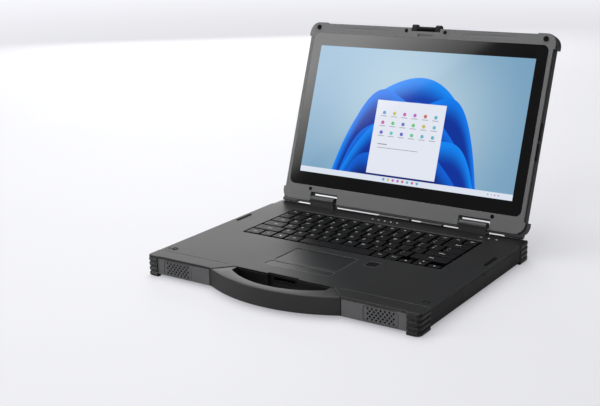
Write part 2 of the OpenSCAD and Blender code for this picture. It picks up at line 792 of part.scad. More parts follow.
shaft_in = notch_in - 15;                    // inner end of the shaft
shaft_out = notch_out + 7;
knuckle_w = 6;
leaf_w = 22;
leaf_h = 18;
leaf_t = 1.5;
leaf_z = 0.2;
leaf_y = rear_face_y - lid_wall - leaf_t;

// Shaft bores through the lid's lower edge
module shaft_bores() both_sides() rod_x(shaft_in - knuckle_w, shaft_out, shaft_r + eps);

// Each shaft is fixed to the lid by a steel leaf inside the rear shell
module hinge_shafts() color([0.6, 0.6, 0.62]) lid_place() both_sides() {
  knuckle_in = shaft_in - knuckle_w;
  rod_x(knuckle_in, shaft_out, shaft_r);
  difference() {
    union() {
      block([knuckle_in, 0, leaf_z], [shaft_in, leaf_y + leaf_t, leaf_z + 6.8]);
      block([knuckle_in - leaf_w, leaf_y, leaf_z], [shaft_in, leaf_y + leaf_t, leaf_z + leaf_h]);
    }
    for (z = [8, 14], x = [6, 16])
      translate([knuckle_in - x, leaf_y + leaf_t + 1, z]) rotate([90, 0, 0]) cylinder(4, 1.2, 1.2);
  }
}

// ---- lid ----

module notches(top, grow = 0) both_sides()
  block([notch_in - grow, face_y - 2, shell_z - 2],
    [notch_out + grow, rear_face_y + 3, top + grow]);

module latch_notch(grow = 0) {
  block([-latch_w / 2 - fit - grow, face_y - 2, latch_notch_z - grow],
    [latch_w / 2 + fit + grow, rear_face_y + 3, shell_top + 5]);
  block([-latch_w / 2 - fit - grow, shell_y, latch_floor_z - grow],
    [latch_w / 2 + fit + grow, rear_face_y + 3, shell_top + 5]);
}

// The corner areas that the lid bumpers take, in the lid's frame
guard_leg_x = 26;
guard_leg_top = 19;
guard_leg_low = 18.5;
module guard_corners(front, back, grow = 0) both_sides() {
  x = bezel_w / 2 + guard_side;
  block([x - guard_leg_x - grow, front, guard_top_z - guard_leg_top - grow],
    [x + 1, back, guard_top_z + 1]);
  block([x - guard_leg_x - grow, front, guard_z - 2], [x + 1, back, guard_z + guard_leg_low + grow]);
}
guard_inset = 5;
module guard_core(y1, y2) panel(bezel_w - 2 * guard_inset, bezel_z + 0.1, bezel_top - guard_inset,
  lid_r - 3, y1, y2);

// Two dark inserts in each side edge of the lid
insert_w = 5.2;
insert_l = 21.5;
insert_z = [90, 115];
insert_depth = 6;
module inserts() both_sides() for (z = insert_z)
  block([bezel_w / 2 - insert_w + 1.7, face_y + 0.5, z],
    [shell_w / 2 - 0.4, face_y + insert_depth, z + insert_l]);

module lid_rear_shell() color([0.16, 0.16, 0.17]) lid_place() difference() {
  union() {
    panel(shell_w, shell_z, shell_top, lid_r, shell_y, rear_face_y);
    panel(shell_w, shell_z, shell_z + 2 * lid_r + 6, lid_r, lip_y, shell_y + eps);
  }
  // the bezel's room above the lip
  panel(bezel_w + 0.2, bezel_z - 0.1, bezel_top, lid_r - 1, face_y - 1, shell_y);
  block([-shell_w, face_y - 1, bezel_z + lid_r], [shell_w, shell_y, shell_top]);
  // hollow for the display
  difference() {
    panel(shell_w - 2 * lid_wall - 5, shell_z + lid_wall + 0.4, shell_top - lid_wall - 1,
      lid_r - 4, shell_y - 1, rear_face_y - lid_wall);
    notches(notch_back, lid_wall);
    latch_notch(lid_wall);
    guard_corners(face_y - 2, rear_face_y, 2);
  }
  notches(notch_back);
  latch_notch();
  shaft_bores();
  // chamfer along the lower rear edge
  translate([0, rear_face_y, shell_z + edge_cut]) rotate([45, 0, 0])
    translate([-shell_w, -20, -20]) cube([2 * shell_w, 40, 20]);
  difference() {
    guard_corners(face_y - 2, rear_face_y + 2);
    guard_core(face_y - 3, rear_face_y + 3);
  }
  inserts();
}

module lid_bezel() color([0.45, 0.45, 0.46]) lid_place() difference() {
  union() {
    panel(bezel_w, bezel_z, bezel_top, lid_r - 1, face_y, shell_y);
    intersection() {
      panel(bezel_w + 2 * ear_side, bezel_z, bezel_top + ear_top, lid_r + 1, face_y, shell_y);
      guard_corners(face_y - 1, shell_y + 1);
    }
  }
  panel(glass_w, glass_bottom, glass_bottom + glass_h, 8, face_y - 1, face_y + glass_t);
  panel(view_w + 8, view_bottom - 4, view_bottom + view_h + 4, 2, face_y - 1, shell_y + 1);
  translate([0, shell_y + 1, glass_bottom + glass_h - 8]) rotate([90, 0, 0])
    cylinder(bezel_t + 2, 3.2, 3.2);
  notches(notch_h);
  latch_notch();
  shaft_bores();
  inserts();
  stop_holes();
  // pocket under the latch, and a joint beside it
  translate([0, face_y + 1.2, latch_notch_z - 8]) rotate([90, 0, 0]) linear_extrude(2.5)
    polygon([[-9.5, 0], [9, 0], [12, 4.2], [-10.5, 4.2]]);
  translate([0, face_y + 0.4, 0]) rotate([90, 0, 0]) linear_extrude(1)
    polygon([[28.4, glass_bottom + glass_h], [28.9, glass_bottom + glass_h],
      [35.2, bezel_top + 1], [34.7, bezel_top + 1]]);
  // recessed lines beside the latch, microphone holes and screw holes
  both_sides() block([64, face_y - 1, stop_z - 1], [122, face_y + 0.3, stop_z + 1]);
  for (x = [-53, 54]) translate([x, face_y + 1, stop_z - 0.5]) rotate([90, 0, 0])
    cylinder(2, 0.6, 0.6);
  bezel_screw_spots() cylinder(2, 2.6, 2.6);
}

module bezel_screw_spots() {
  for (x = [-27.8, 27.8]) translate([x, face_y + 1, bezel_top - 4.2]) rotate([90, 0, 0]) children();
  for (x = [-133, 133]) translate([x, face_y + 1, bezel_z + 16.4]) rotate([90, 0, 0]) children();
}
stop_x = 163;
stop_r = 3.3;
module stop_holes() both_sides() translate([stop_x, face_y + 1.6, stop_z])
  rotate([90, 0, 0]) cylinder(3, stop_r, stop_r);
// Round rubber stops that the closed lid rests on, and plugs over the screws
module lid_stops() color([0.05, 0.05, 0.05]) lid_place() {
  both_sides() translate([stop_x, face_y + 1.6, stop_z]) rotate([90, 0, 0])
    cylinder(2.5, stop_r, stop_r);
  bezel_screw_spots() cylinder(1, 2.6, 2.6);
}

module cover_glass() color([0.03, 0.03, 0.03]) lid_place()
  panel(glass_w, glass_bottom, glass_bottom + glass_h, 8, face_y + 0.1, face_y + glass_t);

module display_panel() color([0.5, 0.6, 0.8]) lid_place()
  panel(view_w + 7, view_bottom - 3.5, view_bottom + view_h + 3.5, 1.5,
    face_y + glass_t + 0.3, face_y + glass_t + 4.8);

module webcam_module() color([0.1, 0.3, 0.1]) lid_place() {
  z = glass_bottom + glass_h - 8;
  block([-35, shell_y + 0.2, z - 3.6], [35, shell_y + 1.4, z + 3.6]);
  translate([0, shell_y + 0.2, z]) rotate([90, 0, 0]) cylinder(bezel_t - glass_t - 0.1, 2.8, 2.8);
}

// Behind the bezel's corners and under its lower ones; the underside is round about the
// hinge axis, so that it clears the deck at every angle
module guard_shape() {
  w = bezel_w + 2 * guard_side;
  panel(w, guard_z, guard_top_z, lid_r + 3, shell_y, guard_y);
  panel(w, guard_z, guard_z + 3 * lid_r, lid_r + 3, lip_y, shell_y + eps);
  both_sides() rod_x(w / 2 - guard_leg_x, w / 2 - 3, axis_h - fit - 0.05);
}
module lid_corner_bumpers() color([0.07, 0.07, 0.07]) lid_place() difference() {
  intersection() {
    guard_shape();
    guard_corners(lip_y, guard_y + 1);
  }
  block([-bezel_w, face_y - 1, bezel_z], [bezel_w, shell_y, bezel_top + 5]);
  guard_core(face_y - 1, guard_y + 1);
  // the lower rear edge is cut back to clear the deck
  translate([0, guard_y, guard_z + edge_cut + 2]) rotate([45, 0, 0])
    translate([-bezel_w, -20, -20]) cube([2 * bezel_w, 40, 20]);
  shaft_bores();
  stop_holes();
}

module lid_edge_inserts() color([0.04, 0.04, 0.04]) lid_place() inserts();

module display_cable() color([0.7, 0.55, 0.2]) lid_place()
  block([44, shell_y + 5.2, 3], [52, shell_y + 5.6, view_bottom + 20]);

// ---- latch ----

lug_y = rear_face_y - 1;
// Two lugs on a thin base plate, bored for the latch's pin
module latch_lugs() color([0.06, 0.06, 0.06]) lid_place() difference() {
  union() {
    block([-latch_w / 2, shell_y + 0.05, latch_floor_z],
      [latch_w / 2, lug_y, latch_floor_z + lug_floor_t]);
    both_sides() translate([latch_w / 2 - lug_w, 0, 0]) rotate([90, 0, 90]) linear_extrude(lug_w)
      polygon([[shell_y + 0.05, latch_floor_z], [shell_y + 0.05, latch_notch_z],
        [face_y + 0.3, latch_notch_z], [face_y + 0.3, pivot_z + 3.2],
        [face_y + 2, pivot_z + 5], [face_y + 6.5, pivot_z + 5],
        [lug_y, pivot_z], [lug_y, latch_floor_z]]);
  }
  rod_x(-latch_w / 2 - 1, latch_w / 2 + 1, pin_r + shaft_play, pivot_y, pivot_z);
}

// The latch: a ribbed barrel on a pin, an arm and a hook.  The profile is drawn hooked,
// with x towards the deck and y outwards from the lid's edge, and is then folded back.
module latch_profile() {
  circle(barrel_r - 0.4);
  translate([barrel_r - arm_t, 0]) square([arm_t, hook_v + arm_t]);
  translate([barrel_r - arm_t, hook_v]) square([hook_reach - barrel_r + arm_t, arm_t]);
  translate([hook_reach - hook_bite, hook_v - hook_bite]) square([hook_bite, hook_bite + arm_t]);
}
pin_r = 1.15;
barrel_w = latch_w - 2 * lug_w - 2 * latch_gap;
rib_n = 12;
module lid_latch() color([0.05, 0.05, 0.05]) lid_place()
  translate([0, pivot_y, pivot_z]) rotate([-latch_fold, 0, 0]) {
    translate([-barrel_w / 2, 0, 0]) rotate([90, 0, 90]) linear_extrude(barrel_w)
      mirror([1, 0]) latch_profile();
    for (i = [0 : rib_n - 1]) {
      x = -barrel_w / 2 + i * barrel_w / (rib_n - 0.5);
      rod_x(x, x + barrel_w / (2 * rib_n - 1), barrel_r);
    }
    rod_x(-latch_w / 2 + 1, latch_w / 2 - 1, pin_r);
  }

// ---- port covers ----

// A side cover, hinged along its lower edge; the finger tab is on its top edge
module side_cover(span) {
  gap = cover_gap;
  block([case_w / 2 - cover_t, span[0] + gap, cover_z], [case_w / 2, span[1] - gap, cover_top]);
  block([case_w / 2 - 1.2, span[1] - 7, cover_top - eps], [case_w / 2 + 0.8, span[1] - 2, cover_top + 0.1]);
}
module port_cover_right_front() color([0.09, 0.09, 0.09]) place() side_cover(right_front);
module port_cover_right_rear() color([0.09, 0.09, 0.09]) place() side_cover(right_rear);
module port_cover_left() color([0.09, 0.09, 0.09]) place() mirror([1, 0, 0]) side_cover(left_cover);

// A rear cover: a plate with a lip over the top of its housing
module rear_cover(span) {
  block([span[0] + cover_gap, rear_y - cover_t, cover_z], [span[1] - cover_gap, rear_y, rear_cover_top]);
  block([span[0] + cover_gap, rear_y - rear_lip, rear_cover_top - cover_t],
    [span[1] - cover_gap, rear_y, rear_cover_top]);
}
module port_cover_rear_wide() color([0.09, 0.09, 0.09]) place() rear_cover(rear_wide);
module port_cover_rear_narrow() color([0.09, 0.09, 0.09]) place() rear_cover(rear_narrow);

// ---- inside ----

pcb_x = [-88, 172];
pcb_y = [-30, 116];
module motherboard() color([0.1, 0.35, 0.2]) place() difference() {
  union() {
    block([pcb_x[0], pcb_y[0], pcb_z], [pcb_x[1], pcb_y[1], pcb_top]);
    block([-160, pcb_y[0], pcb_z], [pcb_x[0] + eps, 30, pcb_top]);
  }
  screw_spots() translate([0, 0, pcb_z - 1]) cylinder(4, 1.6, 1.6);
  linear_extrude(deck_z) bumper_keepout();
}
cpu_x = -20;
cpu_y = 60;
module processor() color([0.2, 0.2, 0.22]) place()
  block([cpu_x - 18, cpu_y - 15, pcb_top], [cpu_x + 18, cpu_y + 15, pcb_top + 1.6]);

// Cold plate, flat heat pipe and a stack of fins by the exhaust
fin_x1 = -case_w / 2 + wall + 0.6;
fin_x2 = fan_x - fan_s / 2 - 0.3;
module heat_sink() color([0.72, 0.45, 0.2]) place() {
  pipe_z = pcb_top + 3.1;
  block([cpu_x - 22, cpu_y - 20, pcb_top + 1.6], [cpu_x + 22, cpu_y + 20, pipe_z]);
  block([fin_x1, fan_y + fan_s / 2 + 1, pipe_z - 1], [cpu_x, fan_y + fan_s / 2 + 9, pipe_z + 1.4]);
  block([cpu_x - 8, cpu_y - 5, pipe_z], [cpu_x, fan_y + fan_s / 2 + 9, pipe_z + 1.4]);
  block([fin_x1, fan_y - fan_s / 2 + 4, pipe_z - 1], [fin_x2, fan_y + fan_s / 2 + 9, pipe_z + 1.4]);
  for (i = [0 : 12])
    block([fin_x1, fan_y - 24 + i * 4, fan_z + 0.5], [fin_x2, fan_y - 23.4 + i * 4, pipe_z]);
}

module fan_housing() color([0.12, 0.12, 0.12]) place() {
  fan_frame();
  translate([fan_x, fan_y, fan_z + 1]) cylinder(rotor_z - fan_z + 0.7, pin_fan_r, pin_fan_r);
}
module fan_frame() difference() {
  block([fan_x - fan_s / 2, fan_y - fan_s / 2, fan_z],
    [fan_x + fan_s / 2, fan_y + fan_s / 2, fan_z + fan_h]);
  translate([fan_x, fan_y, fan_z + 1.2]) cylinder(fan_h, rotor_r + 1.5, rotor_r + 1.5);
  block([fan_x - fan_s / 2 - 1, fan_y - 22, fan_z + 1.2], [fan_x, fan_y + 22, fan_z + fan_h - 1]);
  for (a = [0 : 60 : 300]) translate([fan_x, fan_y, fan_z - 1]) rotate([0, 0, a])
    translate([14, 0, 0]) cylinder(3, 5.5, 5.5);
}
// Hub and blades, turning on the housing's pin
pin_fan_r = 1.45;
blade_count = 21;
module fan_rotor() color([0.16, 0.16, 0.16]) place() translate([fan_x, fan_y, rotor_z]) {
  difference() {
    cylinder(rotor_h, 9, 9);
    translate([0, 0, -1]) cylinder(3, pin_fan_r + shaft_play, pin_fan_r + shaft_play);
  }
  for (i = [0 : blade_count - 1]) rotate([0, 0, i * 360 / blade_count])
    translate([8.6, -0.4, 0]) cube([rotor_r - 8.6, 0.8, rotor_h - 0.5]);
}

module battery_pack() color([0.13, 0.13, 0.15]) place() translate([0, hatch_y, 0])
  for (i = [-1 : 1]) translate([i * 70.3, 0, 0])
    plate(70, hatch_d - 10, 3, floor_z + 0.3, floor_z + 10.5);

module solid_state_drive() color([0.1, 0.3, 0.15]) place() {
  block([40, -22, pcb_top + 2], [120, 0, pcb_top + 2.8]);
  block([44, -19, pcb_top + 2.8], [60, -3, pcb_top + 4.2]);
  block([66, -19, pcb_top + 2.8], [82, -3, pcb_top + 4.2]);
  block([118, -22, pcb_top], [122, 0, pcb_top + 2]);
  block([40, -14, pcb_top], [44, -8, pcb_top + 2]);
}
module memory_module() color([0.1, 0.35, 0.15]) place() {
  block([40, 20, pcb_top + 2], [109, 50, pcb_top + 3]);
  for (i = [0 : 3])
    block([44 + i * 16, 25, pcb_top + 3], [56 + i * 16, 39, pcb_top + 4]);
  block([40, 47, pcb_top], [109, 52, pcb_top + 2]);
}
module wireless_card() color([0.15, 0.3, 0.2]) place() {
  block([-60, -22, pcb_top + 2], [-30, 0, pcb_top + 2.8]);
  block([-56, -19, pcb_top + 2.8], [-40, -4, pcb_top + 4.4]);
  block([-32, -22, pcb_top], [-28, 0, pcb_top + 2]);
}

module speakers() color([0.1, 0.1, 0.1]) place() both_sides() difference() {
  block([grille_x - 20, front_y + panel_t + wall + 1.2, floor_z + 0.4],
    [grille_x + 20, front_y + panel_t + wall + 15, floor_z + 14]);
  translate([grille_x, front_y + panel_t + wall + 3.2, grille_z]) rotate([90, 0, 0]) cylinder(3, 5.5, 5.5);
}

// A socket shell facing +y with a blind cavity; the mouth is at y = 0
module socket_body(w, h, depth, rim) difference() {
  block([-w / 2, -depth, 0], [w / 2, 0, h]);
  block([-w / 2 + rim, -depth + 1.5, rim], [w / 2 - rim, 1, h - rim]);
}
module usb_ports() color([0.7, 0.7, 0.72]) place() for (y = usb_y)
  translate([socket_face, y, pcb_top]) rotate([0, 0, -90]) {
    socket_body(usb_w - 0.1, usb_h - 0.1, 14, 0.6);
    block([-5.5, -13, 3.2], [5.5, -2, 4.6]);
  }
module video_port() color([0.7, 0.7, 0.72]) place()
  translate([socket_face, video_y, pcb_top]) rotate([0, 0, -90]) {
    socket_body(video_w - 0.1, video_h - 0.1, 12, 0.6);
    block([-5.5, -11, 2.4], [5.5, -2, 3.6]);
  }
module network_port() color([0.6, 0.6, 0.62]) place()
  translate([net_x, rear_face, cover_z + 1.05]) socket_body(net_w - 0.1, net_h - 0.1, 16, 1.8);
module power_inlet() color([0.1, 0.1, 0.1]) place() translate([inlet_x, rear_face, inlet_z + inlet_s / 2])
  rotate([90, 0, 0]) {
    difference() {
      translate([-inlet_s / 2 + 0.05, -inlet_s / 2 + 0.05, 0]) cube([inlet_s - 0.1, inlet_s - 0.1, 13]);
      translate([0, 0, -1]) cylinder(11, 2.75, 2.75);
    }
    translate([0, 0, 1]) cylinder(10, 1, 1);
  }
// Headset jack: a round bush through the left wall with a block behind it
module audio_jack() color([0.12, 0.12, 0.12]) place()
  translate([-socket_face, jack_y, jack_z]) rotate([0, 90, 0]) difference() {
    union() {
      cylinder(4, 2.95, 2.95);
      translate([-3, -3.2, 3]) cube([6, 6.4, jack_l]);
    }
    translate([0, 0, -1]) cylinder(jack_l + 1, jack_r, jack_r);
  }

bottom_shell();
battery_hatch();
top_deck();
front_panel_left();
front_panel_right();
speaker_grilles();
carry_handle();
bumper_front_left();
bumper_front_right();
bumper_rear_left();
bumper_rear_right();
keyboard_tray();
touchpad();
fingerprint_reader();
edge_strips();
latch_striker();
hinge_blocks();
rubber_feet();
case_screws();
motherboard();
processor();
heat_sink();
fan_housing();
battery_pack();
solid_state_drive();
memory_module();
wireless_card();
speakers();
power_inlet();
audio_jack();
usb_ports();
network_port();
video_port();
fan_rotor();
keys_function_row();
keys_number_row();
keys_upper_row();
keys_home_row();
keys_lower_row();
keys_bottom_row();
space_bar();
touchpad_button_left();
touchpad_button_right();
port_cover_right_front();
port_cover_right_rear();
port_cover_left();
port_cover_rear_wide();
port_cover_rear_narrow();
lid_rear_shell();
lid_bezel();
cover_glass();
display_panel();
webcam_module();
lid_corner_bumpers();
lid_stops();
lid_edge_inserts();
hinge_shafts();
display_cable();
latch_lugs();
lid_latch();
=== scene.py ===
"""Finish for a rugged laptop computer: key caps, lettering, rubber, handle, screen and coatings.

Laid out as an add-on and run as a script.  Lengths are metres where they carry MM and in
boxes, lights and the camera, and millimetres elsewhere.  The lettering comes from text
curves; every other new surface is an array of points worked out with numpy.
"""

import json
import math

import bpy
import numpy as np
from bpy.props import FloatProperty, FloatVectorProperty, PointerProperty
from mathutils import Matrix, Vector


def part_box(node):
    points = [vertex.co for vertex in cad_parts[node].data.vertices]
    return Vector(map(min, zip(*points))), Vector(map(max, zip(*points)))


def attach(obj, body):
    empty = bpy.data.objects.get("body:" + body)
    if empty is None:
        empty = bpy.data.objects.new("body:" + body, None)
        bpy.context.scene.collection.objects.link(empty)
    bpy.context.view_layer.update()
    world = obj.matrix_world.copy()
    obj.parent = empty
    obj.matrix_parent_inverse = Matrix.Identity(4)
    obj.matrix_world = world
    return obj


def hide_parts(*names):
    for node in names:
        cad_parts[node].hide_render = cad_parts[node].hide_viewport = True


bl_info = {
    "name": "Rugged laptop finish",
    "version": (1, 0, 0),
    "blender": (4, 5, 0),
    "location": "View3D > Sidebar > Laptop",
    "description": "Builds the visible finish of a rugged laptop around its packed frame",
    "category": "Add Mesh",
}

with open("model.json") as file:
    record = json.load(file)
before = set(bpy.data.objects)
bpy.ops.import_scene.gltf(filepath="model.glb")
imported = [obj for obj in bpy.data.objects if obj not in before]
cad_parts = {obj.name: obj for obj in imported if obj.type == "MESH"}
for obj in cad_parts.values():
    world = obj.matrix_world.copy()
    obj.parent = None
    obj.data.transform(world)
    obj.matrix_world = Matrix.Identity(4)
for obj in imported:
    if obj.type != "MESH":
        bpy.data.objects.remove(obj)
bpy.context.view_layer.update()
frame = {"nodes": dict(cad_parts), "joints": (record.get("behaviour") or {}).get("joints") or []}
MM = 0.001

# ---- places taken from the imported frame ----

HINGE = next(j for j in frame["joints"] if j["name"] == "lid_hinge")
HINGE_AT = Vector(HINGE["pos_m"])
HINGE_BEHIND = 129
LID_LEAN = math.radians(20)
BASE_MID = HINGE_AT.y - HINGE_BEHIND * MM
BASE_HALF_DEPTH = 141.7
REAR_SLOPE_RUN, REAR_SLOPE_DROP = 12.7, 8
DECK_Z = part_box("top_deck")[1].z
KEY_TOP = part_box("space_bar")[1].z
KEY_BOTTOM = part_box("space_bar")[0].z
ROW_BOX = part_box("keys_function_row")

# ---- keyboard layout, in key widths from the left, front row first ----

KEY_GAP = 2.6 * MM
PITCH_X = (ROW_BOX[1].x - ROW_BOX[0].x + KEY_GAP) / 15
PITCH_Y = ROW_BOX[1].y - ROW_BOX[0].y + KEY_GAP
KEYS_LEFT = ROW_BOX[0].x - KEY_GAP / 2
ROW_WORDS = {
    "keys_function_row": (
        "Esc F1 F2 F3 F4 F5 F6 F7 F8 F9 F10 F11 F12 Ins Del".split(), [1.0] * 15, 0.0,
    ),
    "keys_number_row": (
        "~` !1 @2 #3 $4 %5 ^6 &7 *8 (9 )0 _- += Back".split(), [1.0] * 13 + [2.0], 0.0,
    ),
    "keys_upper_row": (
        "Tab Q W E R T Y U I O P {[ }] |\\".split(), [1.5] + [1.0] * 12 + [1.5], 0.0,
    ),
    "keys_home_row": (
        "Caps A S D F G H J K L :; \"' Enter".split(), [1.75] + [1.0] * 11 + [2.25], 0.0,
    ),
    "keys_lower_row": (
        "Shift Z X C V B N M <, >. ?/ Shift".split(), [2.25] + [1.0] * 10 + [2.75], 0.0,
    ),
    "keys_bottom_row": (["Ctrl", "Fn", "", "Alt"], [1.25, 1.0, 1.0, 1.25], 0.0),
    "space_bar": ([""], [5.5], 4.5),
}
RIGHT_WORDS = (["Alt", "Ctrl"], [1.0, 1.0], 10.0)
# column, level and turn in degrees of each arrow key
ARROW_CELLS = [(12, 0, 180), (13, 0, 270), (13, 1, 90), (14, 0, 0)]
ARROW_GAP = 1 * MM
KEY_CORNER, ARROW_CORNER = 1.5 * MM, 1.2 * MM
ROW_BODY = {
    "keys_function_row": "function_keys",
    "keys_number_row": "number_keys",
    "keys_upper_row": "upper_keys",
    "keys_home_row": "home_keys",
    "keys_lower_row": "lower_keys",
    "keys_bottom_row": "bottom_keys",
    "space_bar": "space_key",
}


# ---- settings ----


def colour_setting(name, description, default):
    """A colour property with a default."""
    return FloatVectorProperty(
        name=name, description=description, subtype="COLOR", size=3, min=0, max=1, default=default
    )


class LaptopSettings(bpy.types.PropertyGroup):
    """Colours and small sizes of the finish."""

    deck_colour: colour_setting("Deck", "Coating of the deck and casing", (0.0165, 0.0165, 0.0165))
    panel_colour: colour_setting("Front panels", "Coating of the front panels", (0.145, 0.1455, 0.148))
    bezel_colour: colour_setting("Lid bezel", "Coating around the screen", (0.17, 0.171, 0.174))
    rubber_colour: colour_setting("Rubber", "Bumpers, covers and feet", (0.0065, 0.0065, 0.0068))
    key_colour: colour_setting("Keys", "Key caps", (0.0035, 0.0035, 0.0038))
    legend_colour: colour_setting("Lettering", "Printed letters on the keys", (0.85, 0.86, 0.88))
    legend_size: FloatProperty(
        name="Letter height", description="Height of the main letters", unit="LENGTH",
        min=0.001, max=0.006, precision=4, default=3.6 * MM,
    )
    edge_radius: FloatProperty(
        name="Edge radius", description="How far edges look rounded", unit="LENGTH",
        min=0.0001, max=0.001, precision=5, default=0.85 * MM,
    )
    screen_light: FloatProperty(
        name="Screen brightness", description="Strength of the lit picture",
        min=0, max=5, default=0.95,
    )
    light_level: FloatProperty(
        name="Studio light", description="Strength of all studio lights",
        min=0, max=5, default=1.0,
    )


# ---- meshes ----


def base_point(x_mm, y_mm, z_mm):
    """A point given from the middle of the base, in millimetres, as row-frame metres."""
    return np.array([x_mm * MM, y_mm * MM + BASE_MID, z_mm * MM])


def in_scene(name, data):
    """A new object in the scene."""
    thing = bpy.data.objects.new(name, data)
    bpy.context.scene.collection.objects.link(thing)
    return thing


def loft(points):
    """Points and faces of closed lofts: quads between the rings, and a flat cap at each end.

    Point (k, r, s) of part k, ring r, side s has index (k*rings + r)*sides + s.
    """
    index = np.arange(points[..., 0].size).reshape(points.shape[:3])
    low, high = index[:, :-1], index[:, 1:]
    quads = np.stack([low, np.roll(low, -1, 2), np.roll(high, -1, 2), high], -1).reshape(-1, 4)
    caps = np.concatenate([index[:, 0, ::-1], index[:, -1]])
    return points.reshape(-1, 3), [quads, caps]


def make_piece(name, sets, finish, body, angle=35.0):
    """Joins sets of points and faces into a mesh object at the origin that rides on a body."""
    points, face_sets = join_sets(sets)
    mesh = bpy.data.meshes.new(name)
    loops = np.concatenate([faces.ravel() for faces in face_sets])
    totals = np.concatenate([np.full(len(faces), faces.shape[1]) for faces in face_sets])
    starts = np.concatenate([[0], np.cumsum(totals)[:-1]])
    mesh.vertices.add(len(points))
    mesh.vertices.foreach_set("co", np.asarray(points, np.float32).ravel())
    mesh.loops.add(len(loops))
    mesh.loops.foreach_set("vertex_index", loops.astype(np.int32))
    mesh.polygons.add(len(starts))
    mesh.polygons.foreach_set("loop_start", starts.astype(np.int32))
    mesh.update(calc_edges=True)
    mesh.polygons.foreach_set("use_smooth", np.ones(len(starts), bool))
    mesh.validate()
    mesh.set_sharp_from_angle(angle=math.radians(angle))
    mesh.materials.append(material_of(finish))
    piece = in_scene(name, mesh)
    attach(piece, body)
    return piece


def join_sets(sets):
    """Joins (points, face_sets) pairs into one, shifting each one's indices past the last."""
    points, faces, first = [], [], 0
    for some_points, some_faces in sets:
        points.append(some_points)
        faces += [one + first for one in some_faces]
        first += len(some_points)
    return np.concatenate(points), faces


def corner_ring(half_x, half_y, radius, steps=5):
    """Points around rounded rectangles, anticlockwise.

    Each corner is a quarter circle: centre (half - radius), angle from 0 to 90 degrees
    turned by the corner's number of right angles.  half_x, half_y and radius may be
    arrays; the result has two more axes, side and (x, y).
    """
    half_x, half_y, radius = (np.asarray(v, float)[..., None] for v in (half_x, half_y, radius))
    turn = np.repeat(np.arange(4) * math.pi / 2, steps)
    angle = turn + np.tile(np.linspace(0, math.pi / 2, steps), 4)
    side_x = np.sign(np.cos(turn + math.pi / 4))
    side_y = np.sign(np.sin(turn + math.pi / 4))
    x = side_x * (half_x - radius) + radius * np.cos(angle)
    y = side_y * (half_y - radius) + radius * np.sin(angle)
    return np.stack([x, y], -1)


def cap_points(centres, half_x, half_y, corner, top, bottom):
    """Key caps: straight walls, a rounded upper edge and a shallow dish.

    Ring r of a cap is its outline drawn in by inset[r] and lifted to z[r]; the last
    rings shrink towards the middle and sink by a fraction of a millimetre.
    """
    fillet, least = 0.7 * MM, 0.25 * MM
    sink, shrink = np.array([0.12, 0.18]) * MM, [0.62, 0.2]
    angle = np.linspace(0, math.pi / 2, 5)
    inset = np.concatenate([[least, 0, 0], fillet * (1 - np.cos(angle))[1:]])
    shoulder = top - fillet + fillet * np.sin(angle)
    z = np.concatenate([[bottom, bottom + least, top - fillet], shoulder[1:], top - sink])
    share = np.append(np.ones(len(inset)), shrink)
    inset = np.append(inset, [fillet] * 2)
    hx = (half_x[:, None] - inset) * share
    hy = (half_y[:, None] - inset) * share
    radius = np.minimum(np.minimum(hx, hy) * 0.95, np.maximum(corner - inset, least))
    flat = corner_ring(hx, hy, radius) + centres[:, None, None, :]
    height = np.broadcast_to(z[None, :, None, None], flat.shape[:-1] + (1,))
    points = np.concatenate([flat, height], -1)
    return loft(points)


def row_cells(units, start, row):
    """Centres and half sizes of one row's keys from their widths in key units."""
    units = np.array(units)
    middle = start + np.cumsum(units) - units / 2
    x = KEYS_LEFT + middle * PITCH_X
    y = np.full(len(units), (row[0].y + row[1].y) / 2)
    half_x, half_y = (units * PITCH_X - KEY_GAP) / 2, np.full(len(units), (PITCH_Y - KEY_GAP) / 2)
    return np.stack([x, y], -1), half_x, half_y


def arrow_cells():
    """Centres and half sizes of the four half-height arrow keys."""
    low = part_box("keys_bottom_row")[0].y
    half = (PITCH_Y - KEY_GAP - ARROW_GAP) / 4
    cell = np.array([(c, r) for c, r, _ in ARROW_CELLS], float)
    x = KEYS_LEFT + (cell[:, 0] + 0.5) * PITCH_X
    y = low + half + cell[:, 1] * (2 * half + ARROW_GAP)
    return np.stack([x, y], -1), np.full(4, (PITCH_X - KEY_GAP) / 2), np.full(4, half)


CAPITAL_SHARE = 0.7
INK = 0.06 * MM


def word_shape(word, height):
    """One printed word as a thin solid about the origin: points and faces.

    The font's size is the letter's height over the share that a capital takes of it.
    """
    curve = bpy.data.curves.new("word", "FONT")
    curve.body = word
    curve.size = height / CAPITAL_SHARE
    curve.align_x = "CENTER"
    curve.align_y = "CENTER"
    curve.extrude = INK / 2
    curve.resolution_u = 3
    thing = in_scene("word", curve)
    bpy.context.view_layer.update()
    mesh = bpy.data.meshes.new_from_object(thing)
    mesh.calc_loop_triangles()
    points = np.zeros(len(mesh.vertices) * 3)
    mesh.vertices.foreach_get("co", points)
    faces = np.zeros(len(mesh.loop_triangles) * 3, np.int32)
    mesh.loop_triangles.foreach_get("vertices", faces)
    bpy.data.objects.remove(thing)
    bpy.data.curves.remove(curve)
    bpy.data.meshes.remove(mesh)
    return points.reshape(-1, 3), faces.reshape(-1, 3)


def placed(shape, x, y, z, turn=0.0):
    """A shape turned about z by turn degrees and moved to x, y, z."""
    points, faces = shape
    c, s = math.cos(math.radians(turn)), math.sin(math.radians(turn))
    spun = points @ np.array([[c, s, 0], [-s, c, 0], [0, 0, 1]])
    return spun + np.array([x, y, z]), [faces]


def flat_prism(outline, height):
    """A flat outline, anticlockwise, raised to a closed prism."""
    ring = np.concatenate([outline, np.zeros((len(outline), 1))], 1)
    return loft(np.stack([ring, ring + [0, 0, height]])[None])


